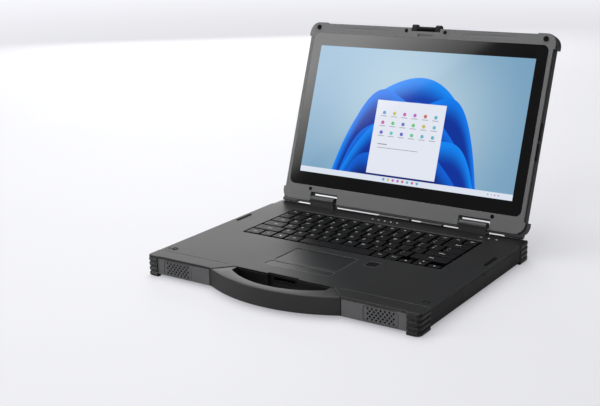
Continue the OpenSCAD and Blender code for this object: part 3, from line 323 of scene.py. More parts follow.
def torus_points(centre, radius, tube):
    """A torus lying flat: (radius + tube cos v) round the circle of u, tube sin v high."""
    around, section = 32, 12
    u = np.arange(around)[:, None] * 2 * math.pi / around
    v = np.arange(section)[None, :] * 2 * math.pi / section
    reach = radius + tube * np.cos(v)
    points = np.stack([reach * np.cos(u), reach * np.sin(u), tube * np.sin(v) + 0 * u], -1)
    index = np.arange(around * section).reshape(around, section)
    on, up = np.roll(index, -1, 0), np.roll(index, -1, 1)
    faces = np.stack([index, on, np.roll(on, -1, 1), up], -1).reshape(-1, 4)
    return points.reshape(-1, 3) + centre, [faces]


def rim_points(middle, half_x, half_y, radius, width, depth):
    """A thin rounded-rectangle rim with a square section; middle is on its upper face."""
    inner = corner_ring(half_x, half_y, radius)
    outer = corner_ring(half_x + width, half_y + width, radius + width)
    level = np.zeros((len(inner), 1))
    section = [
        np.hstack([inner, level - depth]), np.hstack([outer, level - depth]),
        np.hstack([outer, level]), np.hstack([inner, level]),
    ]
    points = np.stack(section, 1)
    index = np.arange(points.shape[0] * 4).reshape(-1, 4)
    on, up = np.roll(index, -1, 0), np.roll(index, -1, 1)
    faces = np.stack([index, up, np.roll(on, -1, 1), on], -1).reshape(-1, 4)
    return points.reshape(-1, 3) + middle, [faces]


def lid_bar(side, z_low, z_high):
    """A rounded rubber bar along the lid's side edge, standing 1.6 mm out of it.

    Three rings, each at its distance out, are worked out in the open lid's own axes from
    the hinge axis, and turned back about x by the lid's lean.
    """
    middle, forward = (z_low + z_high) / 2, 0.9
    ring = corner_ring(1.3, (z_high - z_low) / 2, 1.25)
    points = []
    for out, shrink in ((171.5, 1.0), (174.9, 1.0), (175.6, 0.8)):
        flat = ring * [shrink, 1 - (1 - shrink) * 0.1]
        x = np.full(len(flat), side * out)
        points.append(np.stack([x, forward + flat[:, 0], middle + flat[:, 1]], -1))
    local = np.stack(points)[None]
    y = local[..., 1] * math.cos(LID_LEAN) + local[..., 2] * math.sin(LID_LEAN)
    z = local[..., 2] * math.cos(LID_LEAN) - local[..., 1] * math.sin(LID_LEAN)
    world = np.stack([local[..., 0] * MM, HINGE_AT.y + y * MM, HINGE_AT.z + z * MM], -1)
    if side < 0:
        world = world[:, :, ::-1]
    return loft(world)


# ---- corner bumpers ----


def rib_profile(height, depth, ribs, groove):
    """Outward offset and height of the ribbed face, from the bottom up.

    Over one rib, with s from -1 to 1, the face is -depth*s**4; ribs are a groove apart.
    """
    rib = (height - (ribs - 1) * groove) / ribs
    s = np.linspace(-1, 1, 11)
    z = (np.arange(ribs) * (rib + groove))[:, None] + (s + 1)[None, :] / 2 * rib
    offset = np.broadcast_to(-depth * s**4, z.shape)
    return offset.ravel(), z.ravel()


def bumper_points(front, right):
    """A ribbed bumper around one corner of the base.

    The outline runs along x, round a quarter circle and along y; its outward normal
    carries the ribbed profile, closed by a straight inner wall 5.4 to 6.4 mm behind it.
    A rear bumper's top is cut by the base's rear slope.
    """
    low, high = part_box(f"bumper_{'front' if front else 'rear'}_{'right' if right else 'left'}")
    radius = (7 if front else 20) * MM
    thick = np.array([5.4, 6.4]) * MM
    turn = np.concatenate([[0, 0], np.linspace(0, math.pi / 2, 17)[1:-1], [math.pi / 2] * 2])
    end_x, end_y = high.x - low.x, high.y - low.y
    cx, cy = end_x - radius, end_y - radius
    along = np.stack([cx + radius * np.sin(turn), cy + radius * np.cos(turn)], -1)
    along[0] = [0, end_y]
    along[-1] = [end_x, 0]
    normal = np.stack([np.sin(turn), np.cos(turn)], -1)
    wall = thick[0] * normal[:, 0] ** 2 + thick[1] * normal[:, 1] ** 2
    top = high.z if front else DECK_Z - 0.6 * MM
    offset, z = rib_profile(top, depth=1.6 * MM, ribs=4, groove=1.1 * MM)
    back = np.broadcast_to(-wall[:, None], (len(turn), 2))
    outward = np.concatenate([np.broadcast_to(offset, (len(turn), len(offset))), back], 1)
    heights = np.concatenate([z, [z[-1], 0]])
    plan = along[:, None, :] + normal[:, None, :] * outward[..., None]
    sign_x, sign_y = (1 if right else -1), (-1 if front else 1)
    x = (low.x if right else high.x) + sign_x * plan[..., 0]
    y = (high.y if front else low.y) + sign_y * plan[..., 1]
    z = np.broadcast_to(heights, x.shape)
    if not front:
        rear = BASE_MID + BASE_HALF_DEPTH * MM
        slope = DECK_Z - (y - (rear - REAR_SLOPE_RUN * MM)) * REAR_SLOPE_DROP / REAR_SLOPE_RUN
        z = np.minimum(z, slope)
    points = np.stack([x, y, z], -1)[None]
    if right == front:
        points = points[:, ::-1]
    return loft(points)


# ---- carry handle ----

HANDLE = {
    "span": 173.8, "reach": 22.1, "bar": 11.7, "grip": 127.0, "tip": 10.7, "back": 20.7, "root": 20.0,
}
FRONT_FACE = -BASE_HALF_DEPTH


def arc_offset(x, chord, rise):
    """How far a circular arc of a chord and rise stands out from its chord at x."""
    radius = (chord**2 / 4 + rise**2) / (2 * rise)
    return np.sqrt(np.maximum(radius**2 - x**2, 0)) - (radius - rise)


def handle_points():
    """The fixed handle, carried along x.

    At each x the front is the outer arc.  The back is the inner arc over the grip, the
    grip's rear edge just past its ends, and then the slanting seam.  Between them the
    section is a rectangle with rounded upper edges.
    """
    h = HANDLE
    half, grip, root = h["span"] / 2, h["grip"] / 2, h["span"] / 2 - h["root"]
    grip_steps, before_grip = 61, 12
    x = np.concatenate([
        np.linspace(-half, -root, 10), np.linspace(-root, -grip, 3)[1:],
        np.linspace(-grip, grip, grip_steps), np.linspace(grip, root, 3)[:-1], np.linspace(root, half, 10),
    ])
    front = FRONT_FACE - np.maximum(arc_offset(x, h["span"], h["reach"]), 0.0)
    rear = FRONT_FACE + h["back"] * np.clip((half - np.abs(x)) / h["root"], 0, 1)
    inner = FRONT_FACE + h["tip"] - arc_offset(x, h["grip"], h["reach"] - h["bar"] + h["tip"])
    over_grip = np.zeros(len(x), bool)
    over_grip[before_grip : before_grip + grip_steps] = True
    rear = np.where(over_grip, inner, rear)
    low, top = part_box("carry_handle")[0].z / MM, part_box("carry_handle")[1].z / MM
    round_front, round_back = 1.5, 1.0
    angle = np.linspace(0, math.pi / 2, 6)
    depth = rear - front
    rf = np.minimum(round_front, depth * 0.45)[:, None]
    rb = np.minimum(round_back, depth * 0.45)[:, None]
    zero = np.zeros((len(x), 1))
    foot = 0.5
    y = np.concatenate([
        rear[:, None] - foot * np.minimum(rb, 1), rear[:, None] + zero,
        rear[:, None] - rb * (1 - np.cos(angle)), front[:, None] + rf * (1 - np.sin(angle)),
        front[:, None] + zero, front[:, None] + foot * np.minimum(rf, 1),
    ], 1)
    z = np.concatenate([
        zero + low, zero + low + foot, top - rb * (1 - np.sin(angle)),
        top - rf * (1 - np.cos(angle)), zero + low + foot, zero + low,
    ], 1)
    points = np.stack([np.broadcast_to(x[:, None], y.shape), y, z], -1)
    points = points * MM + np.array([0, BASE_MID, 0])
    points = points[None, :, ::-1]
    return loft(points)


# ---- shader node helpers ----


def maths(tree, operation, *values):
    """A Math node; each value is a number or a socket."""
    node = tree.nodes.new("ShaderNodeMath")
    node.operation = operation
    feed(tree, node, values)
    return node.outputs[0]


def times(tree, *values):
    """The product of numbers, sockets or masks."""
    result = values[0]
    for value in values[1:]:
        result = maths(tree, "MULTIPLY", result, value)
    return result


def minus(tree, value, less):
    """One number or socket less another."""
    return maths(tree, "SUBTRACT", value, less)


def feed(tree, node, values):
    """Sets or links a node's first inputs."""
    for socket, value in zip(node.inputs, values):
        if isinstance(value, (int, float)):
            socket.default_value = value
        else:
            tree.links.new(value, socket)


def mixed_colour(tree, share, first, second):
    """A colour mix; first and second are sockets or three numbers."""
    node = tree.nodes.new("ShaderNodeMix")
    node.data_type = "RGBA"
    for socket, value in zip((node.inputs[0], node.inputs[6], node.inputs[7]), (share, first, second)):
        if isinstance(value, (int, float)):
            socket.default_value = value
        elif isinstance(value, tuple):
            socket.default_value = value + (1.0,)
        else:
            tree.links.new(value, socket)
    return node.outputs[2]


def noise(tree, vector, scale, detail=2.0, roughness=0.5):
    """A noise value between 0 and 1 on a vector in metres."""
    node = tree.nodes.new("ShaderNodeTexNoise")
    node.inputs["Scale"].default_value = scale
    node.inputs["Detail"].default_value = detail
    node.inputs["Roughness"].default_value = roughness
    tree.links.new(vector, node.inputs["Vector"])
    return node.outputs["Fac"]


def between(tree, value, low, high, soft=0.0):
    """A mask that is 1 where value lies between low and high."""
    if soft:
        up = ramp(tree, value, low - soft, low + soft)
        down = ramp(tree, value, high - soft, high + soft)
        return minus(tree, up, down)
    return times(tree, maths(tree, "GREATER_THAN", value, low), maths(tree, "LESS_THAN", value, high))


def ramp(tree, value, low, high):
    """A smooth step of value from low to high."""
    node = tree.nodes.new("ShaderNodeMapRange")
    node.interpolation_type = "SMOOTHSTEP"
    feed(tree, node, (value, float(low), float(high), 0.0, 1.0))
    return node.outputs[0]


def new_group(name, inputs, outputs):
    """A shader node group with named sockets: inputs (name, kind, default), outputs (name, kind)."""
    tree = bpy.data.node_groups.new(name, "ShaderNodeTree")
    for label, kind, default in inputs:
        socket = tree.interface.new_socket(label, in_out="INPUT", socket_type="NodeSocket" + kind)
        if default is not None:
            socket.default_value = default
    for label, kind in outputs:
        tree.interface.new_socket(label, in_out="OUTPUT", socket_type="NodeSocket" + kind)
    return tree, tree.nodes.new("NodeGroupInput").outputs, tree.nodes.new("NodeGroupOutput").inputs


def grain_group():
    """Powder-coat or moulded grain: fine pits and a broad cloudiness."""
    tree, given, out = new_group(
        "Surface grain",
        [
            ("Vector", "Vector", None), ("Grain per metre", "Float", 3000.0),
            ("Depth", "Float", 0.5), ("Smoothest", "Float", 0.35),
            ("Roughest", "Float", 0.5),
        ],
        [("Height", "Float"), ("Roughness", "Float"), ("Cloud", "Float")],
    )
    fine = tree.nodes.new("ShaderNodeTexNoise")
    fine.inputs["Detail"].default_value = 3.0
    tree.links.new(given["Vector"], fine.inputs["Vector"])
    tree.links.new(given["Grain per metre"], fine.inputs["Scale"])
    cells = tree.nodes.new("ShaderNodeTexVoronoi")
    tree.links.new(given["Vector"], cells.inputs["Vector"])
    tree.links.new(times(tree, given["Grain per metre"], 0.6), cells.inputs["Scale"])
    height = maths(tree, "ADD", fine.outputs["Fac"], times(tree, cells.outputs["Distance"], 0.6))
    cloud = noise(tree, given["Vector"], 14.0, 4.0, 0.6)
    speck = times(tree, fine.outputs["Fac"], 0.5)
    share = maths(tree, "ADD", times(tree, cloud, 0.5), speck)
    spread = minus(tree, given["Roughest"], given["Smoothest"])
    rough = maths(tree, "ADD", given["Smoothest"], times(tree, spread, share))
    tree.links.new(times(tree, height, given["Depth"]), out["Height"])
    tree.links.new(rough, out["Roughness"])
    tree.links.new(cloud, out["Cloud"])
    return tree


def edge_group():
    """Rounded edges: the bevelled normal, and a mask of the edges broken up by noise, which carries a painted
    highlight and wear.
    """
    tree, given, out = new_group(
        "Rounded edges",
        [("Vector", "Vector", None), ("Radius", "Float", 0.0004)],
        [("Normal", "Vector"), ("Highlight and wear", "Float")],
    )
    bevel = tree.nodes.new("ShaderNodeBevel")
    bevel.samples = 4
    tree.links.new(given["Radius"], bevel.inputs["Radius"])
    surface = tree.nodes.new("ShaderNodeNewGeometry")
    dot = tree.nodes.new("ShaderNodeVectorMath")
    dot.operation = "DOT_PRODUCT"
    tree.links.new(bevel.outputs[0], dot.inputs[0])
    tree.links.new(surface.outputs["Normal"], dot.inputs[1])
    edge = ramp(tree, dot.outputs["Value"], 0.985, 0.88)
    patchy = ramp(tree, noise(tree, given["Vector"], 260.0, 3.0), 0.2, 0.6)
    tree.links.new(bevel.outputs[0], out["Normal"])
    tree.links.new(times(tree, edge, patchy), out["Highlight and wear"])
    return tree


def own_group(builder, name):
    """The node group called name, built the first time it is asked for."""
    return bpy.data.node_groups.get(name) or builder()


def new_material(name):
    """A material with its Principled node."""
    material = bpy.data.materials.new(name)
    material.use_nodes = True
    return material, material.node_tree, material.node_tree.nodes["Principled BSDF"]


def dress(nodes, material):
    """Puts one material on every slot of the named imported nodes."""
    for name in nodes:
        node = frame["nodes"][name]
        if not node.material_slots:
            node.data.materials.append(material)
        for place in node.material_slots:
            place.material = material


def coated(
    name, colour, smooth, rough, nodes=(), grain=2600.0, depth=0.5, bump=0.1, edge_highlight_and_wear=0.35, metal=0.0,
    cloud=0.25, radius=None, lift=2.2, shine=0.5,
):
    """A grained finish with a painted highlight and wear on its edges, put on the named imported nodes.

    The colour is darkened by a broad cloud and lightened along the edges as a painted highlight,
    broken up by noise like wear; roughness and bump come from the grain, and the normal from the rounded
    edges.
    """
    settings = bpy.context.scene.laptop
    material, tree, shader = new_material(name)
    place = tree.nodes.new("ShaderNodeTexCoord").outputs["Object"]
    surface = tree.nodes.new("ShaderNodeGroup")
    surface.node_tree = own_group(grain_group, "Surface grain")
    feed(tree, surface, (place, grain, depth, smooth, rough))
    edges = tree.nodes.new("ShaderNodeGroup")
    edges.node_tree = own_group(edge_group, "Rounded edges")
    feed(tree, edges, (place, settings.edge_radius if radius is None else radius))
    colour = tuple(colour)
    dull = tuple(c * (1 - cloud) for c in colour)
    # painted highlight: the edge colour is lightened by a set factor and broken up by noise like wear
    bright = tuple(min(c * lift + 0.012, 1.0) for c in colour)
    body = mixed_colour(tree, surface.outputs["Cloud"], dull, tuple(c * (1 + cloud) for c in colour))
    edge_highlight_share = times(tree, edges.outputs["Highlight and wear"], edge_highlight_and_wear)
    tree.links.new(mixed_colour(tree, edge_highlight_share, body, bright), shader.inputs["Base Color"])
    polish = minus(tree, 1.0, times(tree, edge_highlight_share, 0.45))
    tree.links.new(times(tree, surface.outputs["Roughness"], polish), shader.inputs["Roughness"])
    shader.inputs["Metallic"].default_value = metal
    shader.inputs["Specular IOR Level"].default_value = shine
    pits = tree.nodes.new("ShaderNodeBump")
    pits.inputs["Strength"].default_value = bump
    pits.inputs["Distance"].default_value = 0.1 * MM
    tree.links.new(surface.outputs["Height"], pits.inputs["Height"])
    tree.links.new(edges.outputs["Normal"], pits.inputs["Normal"])
    tree.links.new(pits.outputs[0], shader.inputs["Normal"])
    dress(nodes, material)


# ---- the lit picture ----

PICTURE = {"width": 309.35, "height": 174.0, "middle_z": 125.9}
WINDOW_X, WINDOW_Z = (-52.0, 48.0), (-77.0, 20.0)
# lines of writing in the window: left, right, bottom, height
WRITING = ((-42.0, -28.0, -38.2, 1.2), (-42.0, 18.0, -42.6, 0.7))
BAR_HEIGHT = 7.5
SCREEN_SPILL = 0.08
GLASS_DEPTH = -3.2 * MM
# rolling waves, back to front: height, swing, length, shift, half width, dark foot, bright crest
WAVES = [
    (44.0, 9.0, 150.0, 30.0, 100.0, (0.0, 0.045, 0.42), (0.002, 0.26, 0.95)),
    (28.0, 11.0, 120.0, 84.0, 104.0, (0.0, 0.03, 0.33), (0.0, 0.20, 0.88)),
    (9.0, 12.0, 105.0, 20.0, 94.0, (0.0, 0.02, 0.25), (0.0, 0.15, 0.78)),
    (-14.0, 11.0, 130.0, 66.0, 108.0, (0.0, 0.03, 0.34), (0.001, 0.24, 0.93)),
    (-40.0, 9.0, 96.0, 10.0, 100.0, (0.0, 0.012, 0.18), (0.0, 0.12, 0.68)),
]


def length_of(tree, a, b):
    """The length of the flat vector (a, b)."""
    squares = maths(tree, "ADD", times(tree, a, a), times(tree, b, b))
    return maths(tree, "SQRT", squares)


def icon_layer(tree, base, x, z, left, top, pitch_x, pitch_z, columns, rows, radius, words):
    """Rows of small coloured marks, each with a grey line of writing under it.

    A cell's number sets its hue through white noise; a round mask in the cell's middle
    shows it.
    """
    u = maths(tree, "DIVIDE", minus(tree, x, left), pitch_x)
    v = maths(tree, "DIVIDE", minus(tree, top, z), pitch_z)
    inside = times(tree, between(tree, u, 0.0, columns), between(tree, v, 0.0, rows))
    column, row = maths(tree, "FLOOR", u), maths(tree, "FLOOR", v)
    in_column = minus(tree, minus(tree, u, column), 0.5)
    across = times(tree, in_column, pitch_x)
    in_row = minus(tree, minus(tree, v, row), 0.4)
    down = times(tree, in_row, pitch_z)
    white = tree.nodes.new("ShaderNodeTexWhiteNoise")
    white.noise_dimensions = "1D"
    tree.links.new(maths(tree, "ADD", column, times(tree, row, 7.3)), white.inputs["W"])
    tint = tree.nodes.new("ShaderNodeCombineColor")
    tint.mode = "HSV"
    tree.links.new(white.outputs["Value"], tint.inputs[0])
    tint.inputs[1].default_value = 0.75
    tint.inputs[2].default_value = 0.6
    dot = times(tree, inside, maths(tree, "LESS_THAN", length_of(tree, across, down), radius))
    base = mixed_colour(tree, dot, base, tint.outputs[0])
    if words:
        line = times(
            tree, inside, between(tree, across, -pitch_x * 0.3, pitch_x * 0.3),
            between(tree, down, pitch_z * 0.3, pitch_z * 0.38),
        )
        base = mixed_colour(tree, times(tree, line, 0.6), base, (0.12, 0.13, 0.16))
    return base


def picture_group():
    """A plain desktop: pale blue sky, rolling blue waves, a pale window of marks and a bar.

    The top of each wave is height + swing * sin(2 pi (x + shift) / length), less
    100 * (x / half width)**4, and it darkens over 30 mm below its crest.
    """
    tree, given, out = new_group(
        "Desktop picture",
        [("Across", "Float", 0.0), ("Up", "Float", 0.0)],
        [("Color", "Color"), ("Lit", "Float")],
    )
    x, z = given["Across"], given["Up"]
    half_w, half_h = PICTURE["width"] / 2, PICTURE["height"] / 2
    far = maths(tree, "DIVIDE", length_of(tree, x, z), 170.0)
    colour = mixed_colour(tree, ramp(tree, far, 0.1, 1.0), (0.47, 0.64, 0.75), (0.20, 0.38, 0.55))
    for height, swing, length, shift, half, dark, light in WAVES:
        turn = times(tree, maths(tree, "ADD", x, shift), 2 * math.pi / length)
        crest = maths(tree, "ADD", height, times(tree, maths(tree, "SINE", turn), swing))
        wide = maths(tree, "POWER", maths(tree, "ABSOLUTE", maths(tree, "DIVIDE", x, half)), 4.0)
        edge = minus(tree, crest, times(tree, wide, 100.0))
        below = minus(tree, edge, z)
        shade = ramp(tree, below, 30.0, 0.0)
        shape = ramp(tree, below, -0.4, 0.4)
        colour = mixed_colour(tree, shape, colour, mixed_colour(tree, shade, dark, light))
    window = times(tree, between(tree, x, *WINDOW_X, 0.25), between(tree, z, *WINDOW_Z, 0.25))
    colour = mixed_colour(tree, window, colour, (0.80, 0.83, 0.92))
    colour = icon_layer(tree, colour, x, z, -47.0, 9.0, 15.0, 13.0, 6.0, 3.0, 2.4, True)
    for low, high, bottom, line in WRITING:
        text = times(tree, between(tree, x, low, high), between(tree, z, bottom, bottom + line))
        colour = mixed_colour(tree, times(tree, text, 0.75), colour, (0.1, 0.1, 0.12))
    bar = maths(tree, "LESS_THAN", z, -half_h + BAR_HEIGHT)
    colour = mixed_colour(tree, bar, colour, (0.74, 0.80, 0.90))
    colour = icon_layer(tree, colour, x, z, -28.0, -half_h + 7.0, 7.0, 7.0, 8.0, 1.0, 1.8, False)
    colour = icon_layer(tree, colour, x, z, 120.0, -half_h + 6.6, 4.6, 6.6, 4.0, 1.0, 0.9, False)
    lit = times(tree, between(tree, x, -half_w, half_w, 0.1), between(tree, z, -half_h, half_h, 0.1))
    tree.links.new(colour, out["Color"])
    tree.links.new(lit, out["Lit"])
    return tree


def screen_material():
    """Black printed glass with the lit picture; the light it throws on other things is weak."""
    settings = bpy.context.scene.laptop
    material, tree, shader = new_material("Screen glass")
    place = tree.nodes.new("ShaderNodeTexCoord").outputs["Object"]
    local = tree.nodes.new("ShaderNodeMapping")
    local.vector_type = "TEXTURE"
    local.inputs["Location"].default_value = HINGE_AT
    local.inputs["Rotation"].default_value = (-LID_LEAN, 0, 0)
    tree.links.new(place, local.inputs["Vector"])
    split = tree.nodes.new("ShaderNodeSeparateXYZ")
    tree.links.new(local.outputs[0], split.inputs[0])
    across = times(tree, split.outputs[0], 1000.0)
    up = minus(tree, times(tree, split.outputs[2], 1000.0), PICTURE["middle_z"])
    picture = tree.nodes.new("ShaderNodeGroup")
    picture.node_tree = picture_group()
    feed(tree, picture, (across, up))
    front = maths(tree, "LESS_THAN", split.outputs[1], GLASS_DEPTH)
    lit = times(tree, picture.outputs["Lit"], front)
    glow = mixed_colour(tree, lit, (0.0, 0.0, 0.0), picture.outputs["Color"])
    tree.links.new(glow, shader.inputs["Emission Color"])
    seen = tree.nodes.new("ShaderNodeLightPath").outputs["Is Camera Ray"]
    extra = times(tree, seen, settings.screen_light - SCREEN_SPILL)
    level = maths(tree, "ADD", SCREEN_SPILL, extra)
    tree.links.new(level, shader.inputs["Emission Strength"])
    smear = noise(tree, place, 30.0, 4.0, 0.6)
    rough = maths(tree, "ADD", 0.04, times(tree, smear, 0.05))
    tree.links.new(rough, shader.inputs["Roughness"])
    black = mixed_colour(tree, smear, (0.003, 0.003, 0.0035), (0.007, 0.007, 0.008))
    tree.links.new(black, shader.inputs["Base Color"])
    return material


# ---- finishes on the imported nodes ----

SHELL_NODES = "bottom_shell battery_hatch".split()
DECK_NODES = "top_deck".split()
LID_BACK_NODES = "lid_rear_shell".split()
PANEL_NODES = "front_panel_left front_panel_right".split()
RUBBER_NODES = (
    "rubber_feet lid_corner_bumpers bumper_front_left bumper_front_right bumper_rear_left "
    "bumper_rear_right"
).split()
STRIP_NODES = "edge_strips lid_stops".split()
COVER_NODES = (
    "port_cover_right_front port_cover_right_rear port_cover_left port_cover_rear_wide port_cover_rear_narrow"
).split()
BLACK_NODES = (
    "keyboard_tray latch_striker fan_housing speakers power_inlet audio_jack fan_rotor lid_edge_inserts "
    "latch_lugs lid_latch carry_handle battery_pack"
).split()
STEEL_NODES = "case_screws usb_ports network_port video_port hinge_shafts".split()
BOARD_NODES = "motherboard solid_state_drive memory_module wireless_card webcam_module".split()
PAD_NODES = "touchpad touchpad_button_left touchpad_button_right".split()


def material_of(name):
    """A material made by the finishes operator."""
    material = bpy.data.materials.get(name)
    if material is None:
        raise RuntimeError(f"the finish {name} is missing: run the finishes first")
    return material


class LAPTOP_OT_finishes(bpy.types.Operator):
    """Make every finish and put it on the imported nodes"""

    bl_idname = "laptop.finishes"
    bl_label = "Finishes"

    def execute(self, context):
        s = context.scene.laptop
        deck, panel, rubber = tuple(s.deck_colour), s.panel_colour, s.rubber_colour
        # the casing at half the deck's colour is painted shade, dark like the shaded well behind the handle
        casing, lid, handle = (tuple(c * share for c in deck) for share in (0.5, 1.1, 2.1))
        grille = tuple(c * 0.9 for c in panel)
        # each call's edge factors set the painted highlight along that finish's edges
        coated("Deck coating", deck, 0.35, 0.47, DECK_NODES, bump=0.24, edge_highlight_and_wear=0.9, shine=0.28, lift=11.0)
        coated("Casing coating", casing, 0.42, 0.55, SHELL_NODES, grain=1800.0, bump=0.22, shine=0.3)
        coated("Lid coating", lid, 0.38, 0.5, LID_BACK_NODES, bump=0.18)
        coated("Panel coating", panel, 0.4, 0.52, PANEL_NODES, bump=0.16, edge_highlight_and_wear=0.8)
        coated("Grille coating", grille, 0.4, 0.52, ["speaker_grilles"], edge_highlight_and_wear=0.0, radius=0.15 * MM)
        coated(
            "Bezel coating", s.bezel_colour, 0.4, 0.52, ["lid_bezel"],
            bump=0.16, cloud=0.12, edge_highlight_and_wear=0.8, lift=1.9,
        )
        coated("Hinge coating", (0.06, 0.0605, 0.062), 0.24, 0.36, ["hinge_blocks"], bump=0.05, edge_highlight_and_wear=0.6)
        coated(
            "Bumper rubber", rubber, 0.3, 0.42, RUBBER_NODES,
            grain=1500.0, bump=0.14, edge_highlight_and_wear=0.8, shine=0.7, lift=13.0,
        )
        coated("Strip rubber", (0.0015, 0.0015, 0.0016), 0.5, 0.6, STRIP_NODES, edge_highlight_and_wear=0.0, shine=0.12)
        coated("Cover rubber", rubber, 0.42, 0.56, COVER_NODES, grain=1900.0, edge_highlight_and_wear=1.0, shine=0.4, lift=22.0)
        coated("Black plastic", (0.004, 0.004, 0.0042), 0.42, 0.56, BLACK_NODES, grain=2200.0, shine=0.25)
        coated("Pad plastic", (0.013, 0.013, 0.0138), 0.32, 0.42, PAD_NODES, bump=0.04, edge_highlight_and_wear=0.8, shine=0.3)
        coated(
            "Reader glass", (0.002, 0.002, 0.0022), 0.4, 0.5, ["fingerprint_reader"],
            bump=0.01, shine=0.12,
        )
        coated("Plated steel", (0.5, 0.5, 0.52), 0.22, 0.4, STEEL_NODES, metal=1.0, bump=0.06, lift=1.2)
        coated("Circuit board", (0.012, 0.075, 0.035), 0.3, 0.45, BOARD_NODES, bump=0.05)
        coated("Chip", (0.03, 0.03, 0.034), 0.2, 0.3, ["processor"], bump=0.02)
        coated("Copper", (0.72, 0.34, 0.19), 0.2, 0.4, ["heat_sink", "display_cable"], metal=1.0, lift=1.1)
        coated("Display module", (0.25, 0.26, 0.28), 0.3, 0.4, ["display_panel"], bump=0.02)
        # the finishes of the new pieces
        coated(
            "Key plastic", s.key_colour, 0.4, 0.5,
            bump=0.06, edge_highlight_and_wear=0.5, radius=0.3 * MM, shine=0.16, lift=6.0,
        )
        coated(
            "Handle plastic", handle, 0.34, 0.46,
            grain=1900.0, bump=0.2, edge_highlight_and_wear=1.0, shine=0.4, lift=5.0,
        )
        # a light grey that paints the highlight along the edges round the touchpad, its buttons and the
        # reader
        coated(
            "Painted highlight rim", (0.16, 0.16, 0.163), 0.25, 0.36,
            bump=0.03, edge_highlight_and_wear=0.4, cloud=0.5, radius=0.1 * MM,
        )
        coated("Legend ink", s.legend_colour, 0.5, 0.6, bump=0.0, edge_highlight_and_wear=0.0, cloud=0.08, radius=0.02 * MM)
        dress(["cover_glass"], screen_material())
        return {"FINISHED"}


class LAPTOP_OT_key_caps(bpy.types.Operator):
    """Make the dished key caps of every row"""

    bl_idname = "laptop.key_caps"
    bl_label = "Key caps"

    def execute(self, context):
        for node, (_, units, start) in ROW_WORDS.items():
            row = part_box(node)
            if node == "keys_bottom_row":
                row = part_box("space_bar")
            sets = [cap_points(*row_cells(units, start, row), KEY_CORNER, KEY_TOP, KEY_BOTTOM)]
            if node == "keys_bottom_row":
                sets.append(cap_points(*row_cells(*RIGHT_WORDS[1:], row), KEY_CORNER, KEY_TOP, KEY_BOTTOM))
                sets.append(cap_points(*arrow_cells(), ARROW_CORNER, KEY_TOP, KEY_BOTTOM))
            name = node.replace("keys_", "caps_") if node != "space_bar" else "cap_space_bar"
            piece = make_piece(name, sets, "Key plastic", ROW_BODY[node])
            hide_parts(node)
        return {"FINISHED"}


LETTER_INSET = 4.2 * MM
ARROW_HEAD = [[1.3, 0], [-0.9, 1.1], [-0.9, -1.1]]
# half width, half depth and corner radius of the round mark, and its key in the bottom row
DOT_SHAPE = (1.3, 1.3, 1.29)
DOT_KEY = 2


class LAPTOP_OT_legends(bpy.types.Operator):
    """Print plain letters, figures and arrows on the keys"""

    bl_idname = "laptop.legends"
    bl_label = "Key lettering"

    def execute(self, context):
        size = context.scene.laptop.legend_size
        level = KEY_TOP - 0.1 * MM
        shapes = {}

        def mark(word, height):
            if (word, height) not in shapes:
                shapes[word, height] = word_shape(word, height)
            return shapes[word, height]

        for node, (words, units, start) in ROW_WORDS.items():
            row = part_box("space_bar") if node == "keys_bottom_row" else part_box(node)
            rows = [(words, units, start)]
            if node == "keys_bottom_row":
                rows.append(RIGHT_WORDS)
            sets = []
            for some_words, some_units, first in rows:
                centres, half_x, _ = row_cells(some_units, first, row)
                for word, (x, y), hx in zip(some_words, centres, half_x):
                    left = x - hx + LETTER_INSET
                    if len(word) == 1:
                        sets.append(placed(mark(word, size), left, y + 2.6 * MM, level))
                    elif len(word) == 2 and not word.isalnum():
                        sets.append(placed(mark(word[0], size * 0.75), left, y + 3.2 * MM, level))
                        sets.append(placed(mark(word[1], size * 0.85), left, y - 2.6 * MM, level))
                    elif word:
                        sets.append(placed(mark(word, size * 0.7), x, y + 0.5 * MM, level))
            if node == "keys_bottom_row":
                prism, faces = flat_prism(np.array(ARROW_HEAD) * MM, INK)
                for (x, y), (_, _, turn) in zip(arrow_cells()[0], ARROW_CELLS):
                    spun, _ = placed((prism, faces[0]), x, y, level - INK / 2, turn)
                    sets.append((spun, faces))
                prism, faces = flat_prism(corner_ring(*(v * MM for v in DOT_SHAPE)), INK)
                x, y = row_cells(units, start, row)[0][DOT_KEY]
                sets.append((prism + [x, y, level - INK / 2], faces))
            if not sets:
                continue
            name = node.replace("keys_", "letters_")
            piece = make_piece(name, sets, "Legend ink", ROW_BODY[node])
        return {"FINISHED"}


class LAPTOP_OT_bumpers(bpy.types.Operator):
    """Make the ribbed rubber bumpers on the base's corners"""

    bl_idname = "laptop.bumpers"
    bl_label = "Corner bumpers"

    def execute(self, context):
        for front in (True, False):
            for right in (True, False):
                where = f"{'front' if front else 'rear'}_{'right' if right else 'left'}"
                sets = [bumper_points(front, right)]
                piece = make_piece(f"ribbed_bumper_{where}", sets, "Bumper rubber", "base", angle=50.0)
                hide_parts(f"bumper_{where}")
        return {"FINISHED"}


class LAPTOP_OT_handle(bpy.types.Operator):
    """Make the rounded carry handle"""

    bl_idname = "laptop.handle"
    bl_label = "Carry handle"

    def execute(self, context):
        piece = make_piece("rounded_handle", [handle_points()], "Handle plastic", "base")
        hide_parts("carry_handle")
        return {"FINISHED"}


# middle x and y, half width, half depth, corner radius and rim width
RIMS = (
    (0, -55.2, 42.75, 23.4, 2, 0.5),
    (0, -90.0, 44.0, 6.55, 1.5, 0.4),
    (65.15, -38.2, 7.8, 7.8, 3, 0.45),
)
RIM_DEPTH, RIM_PROUD = 0.4 * MM, 0.06


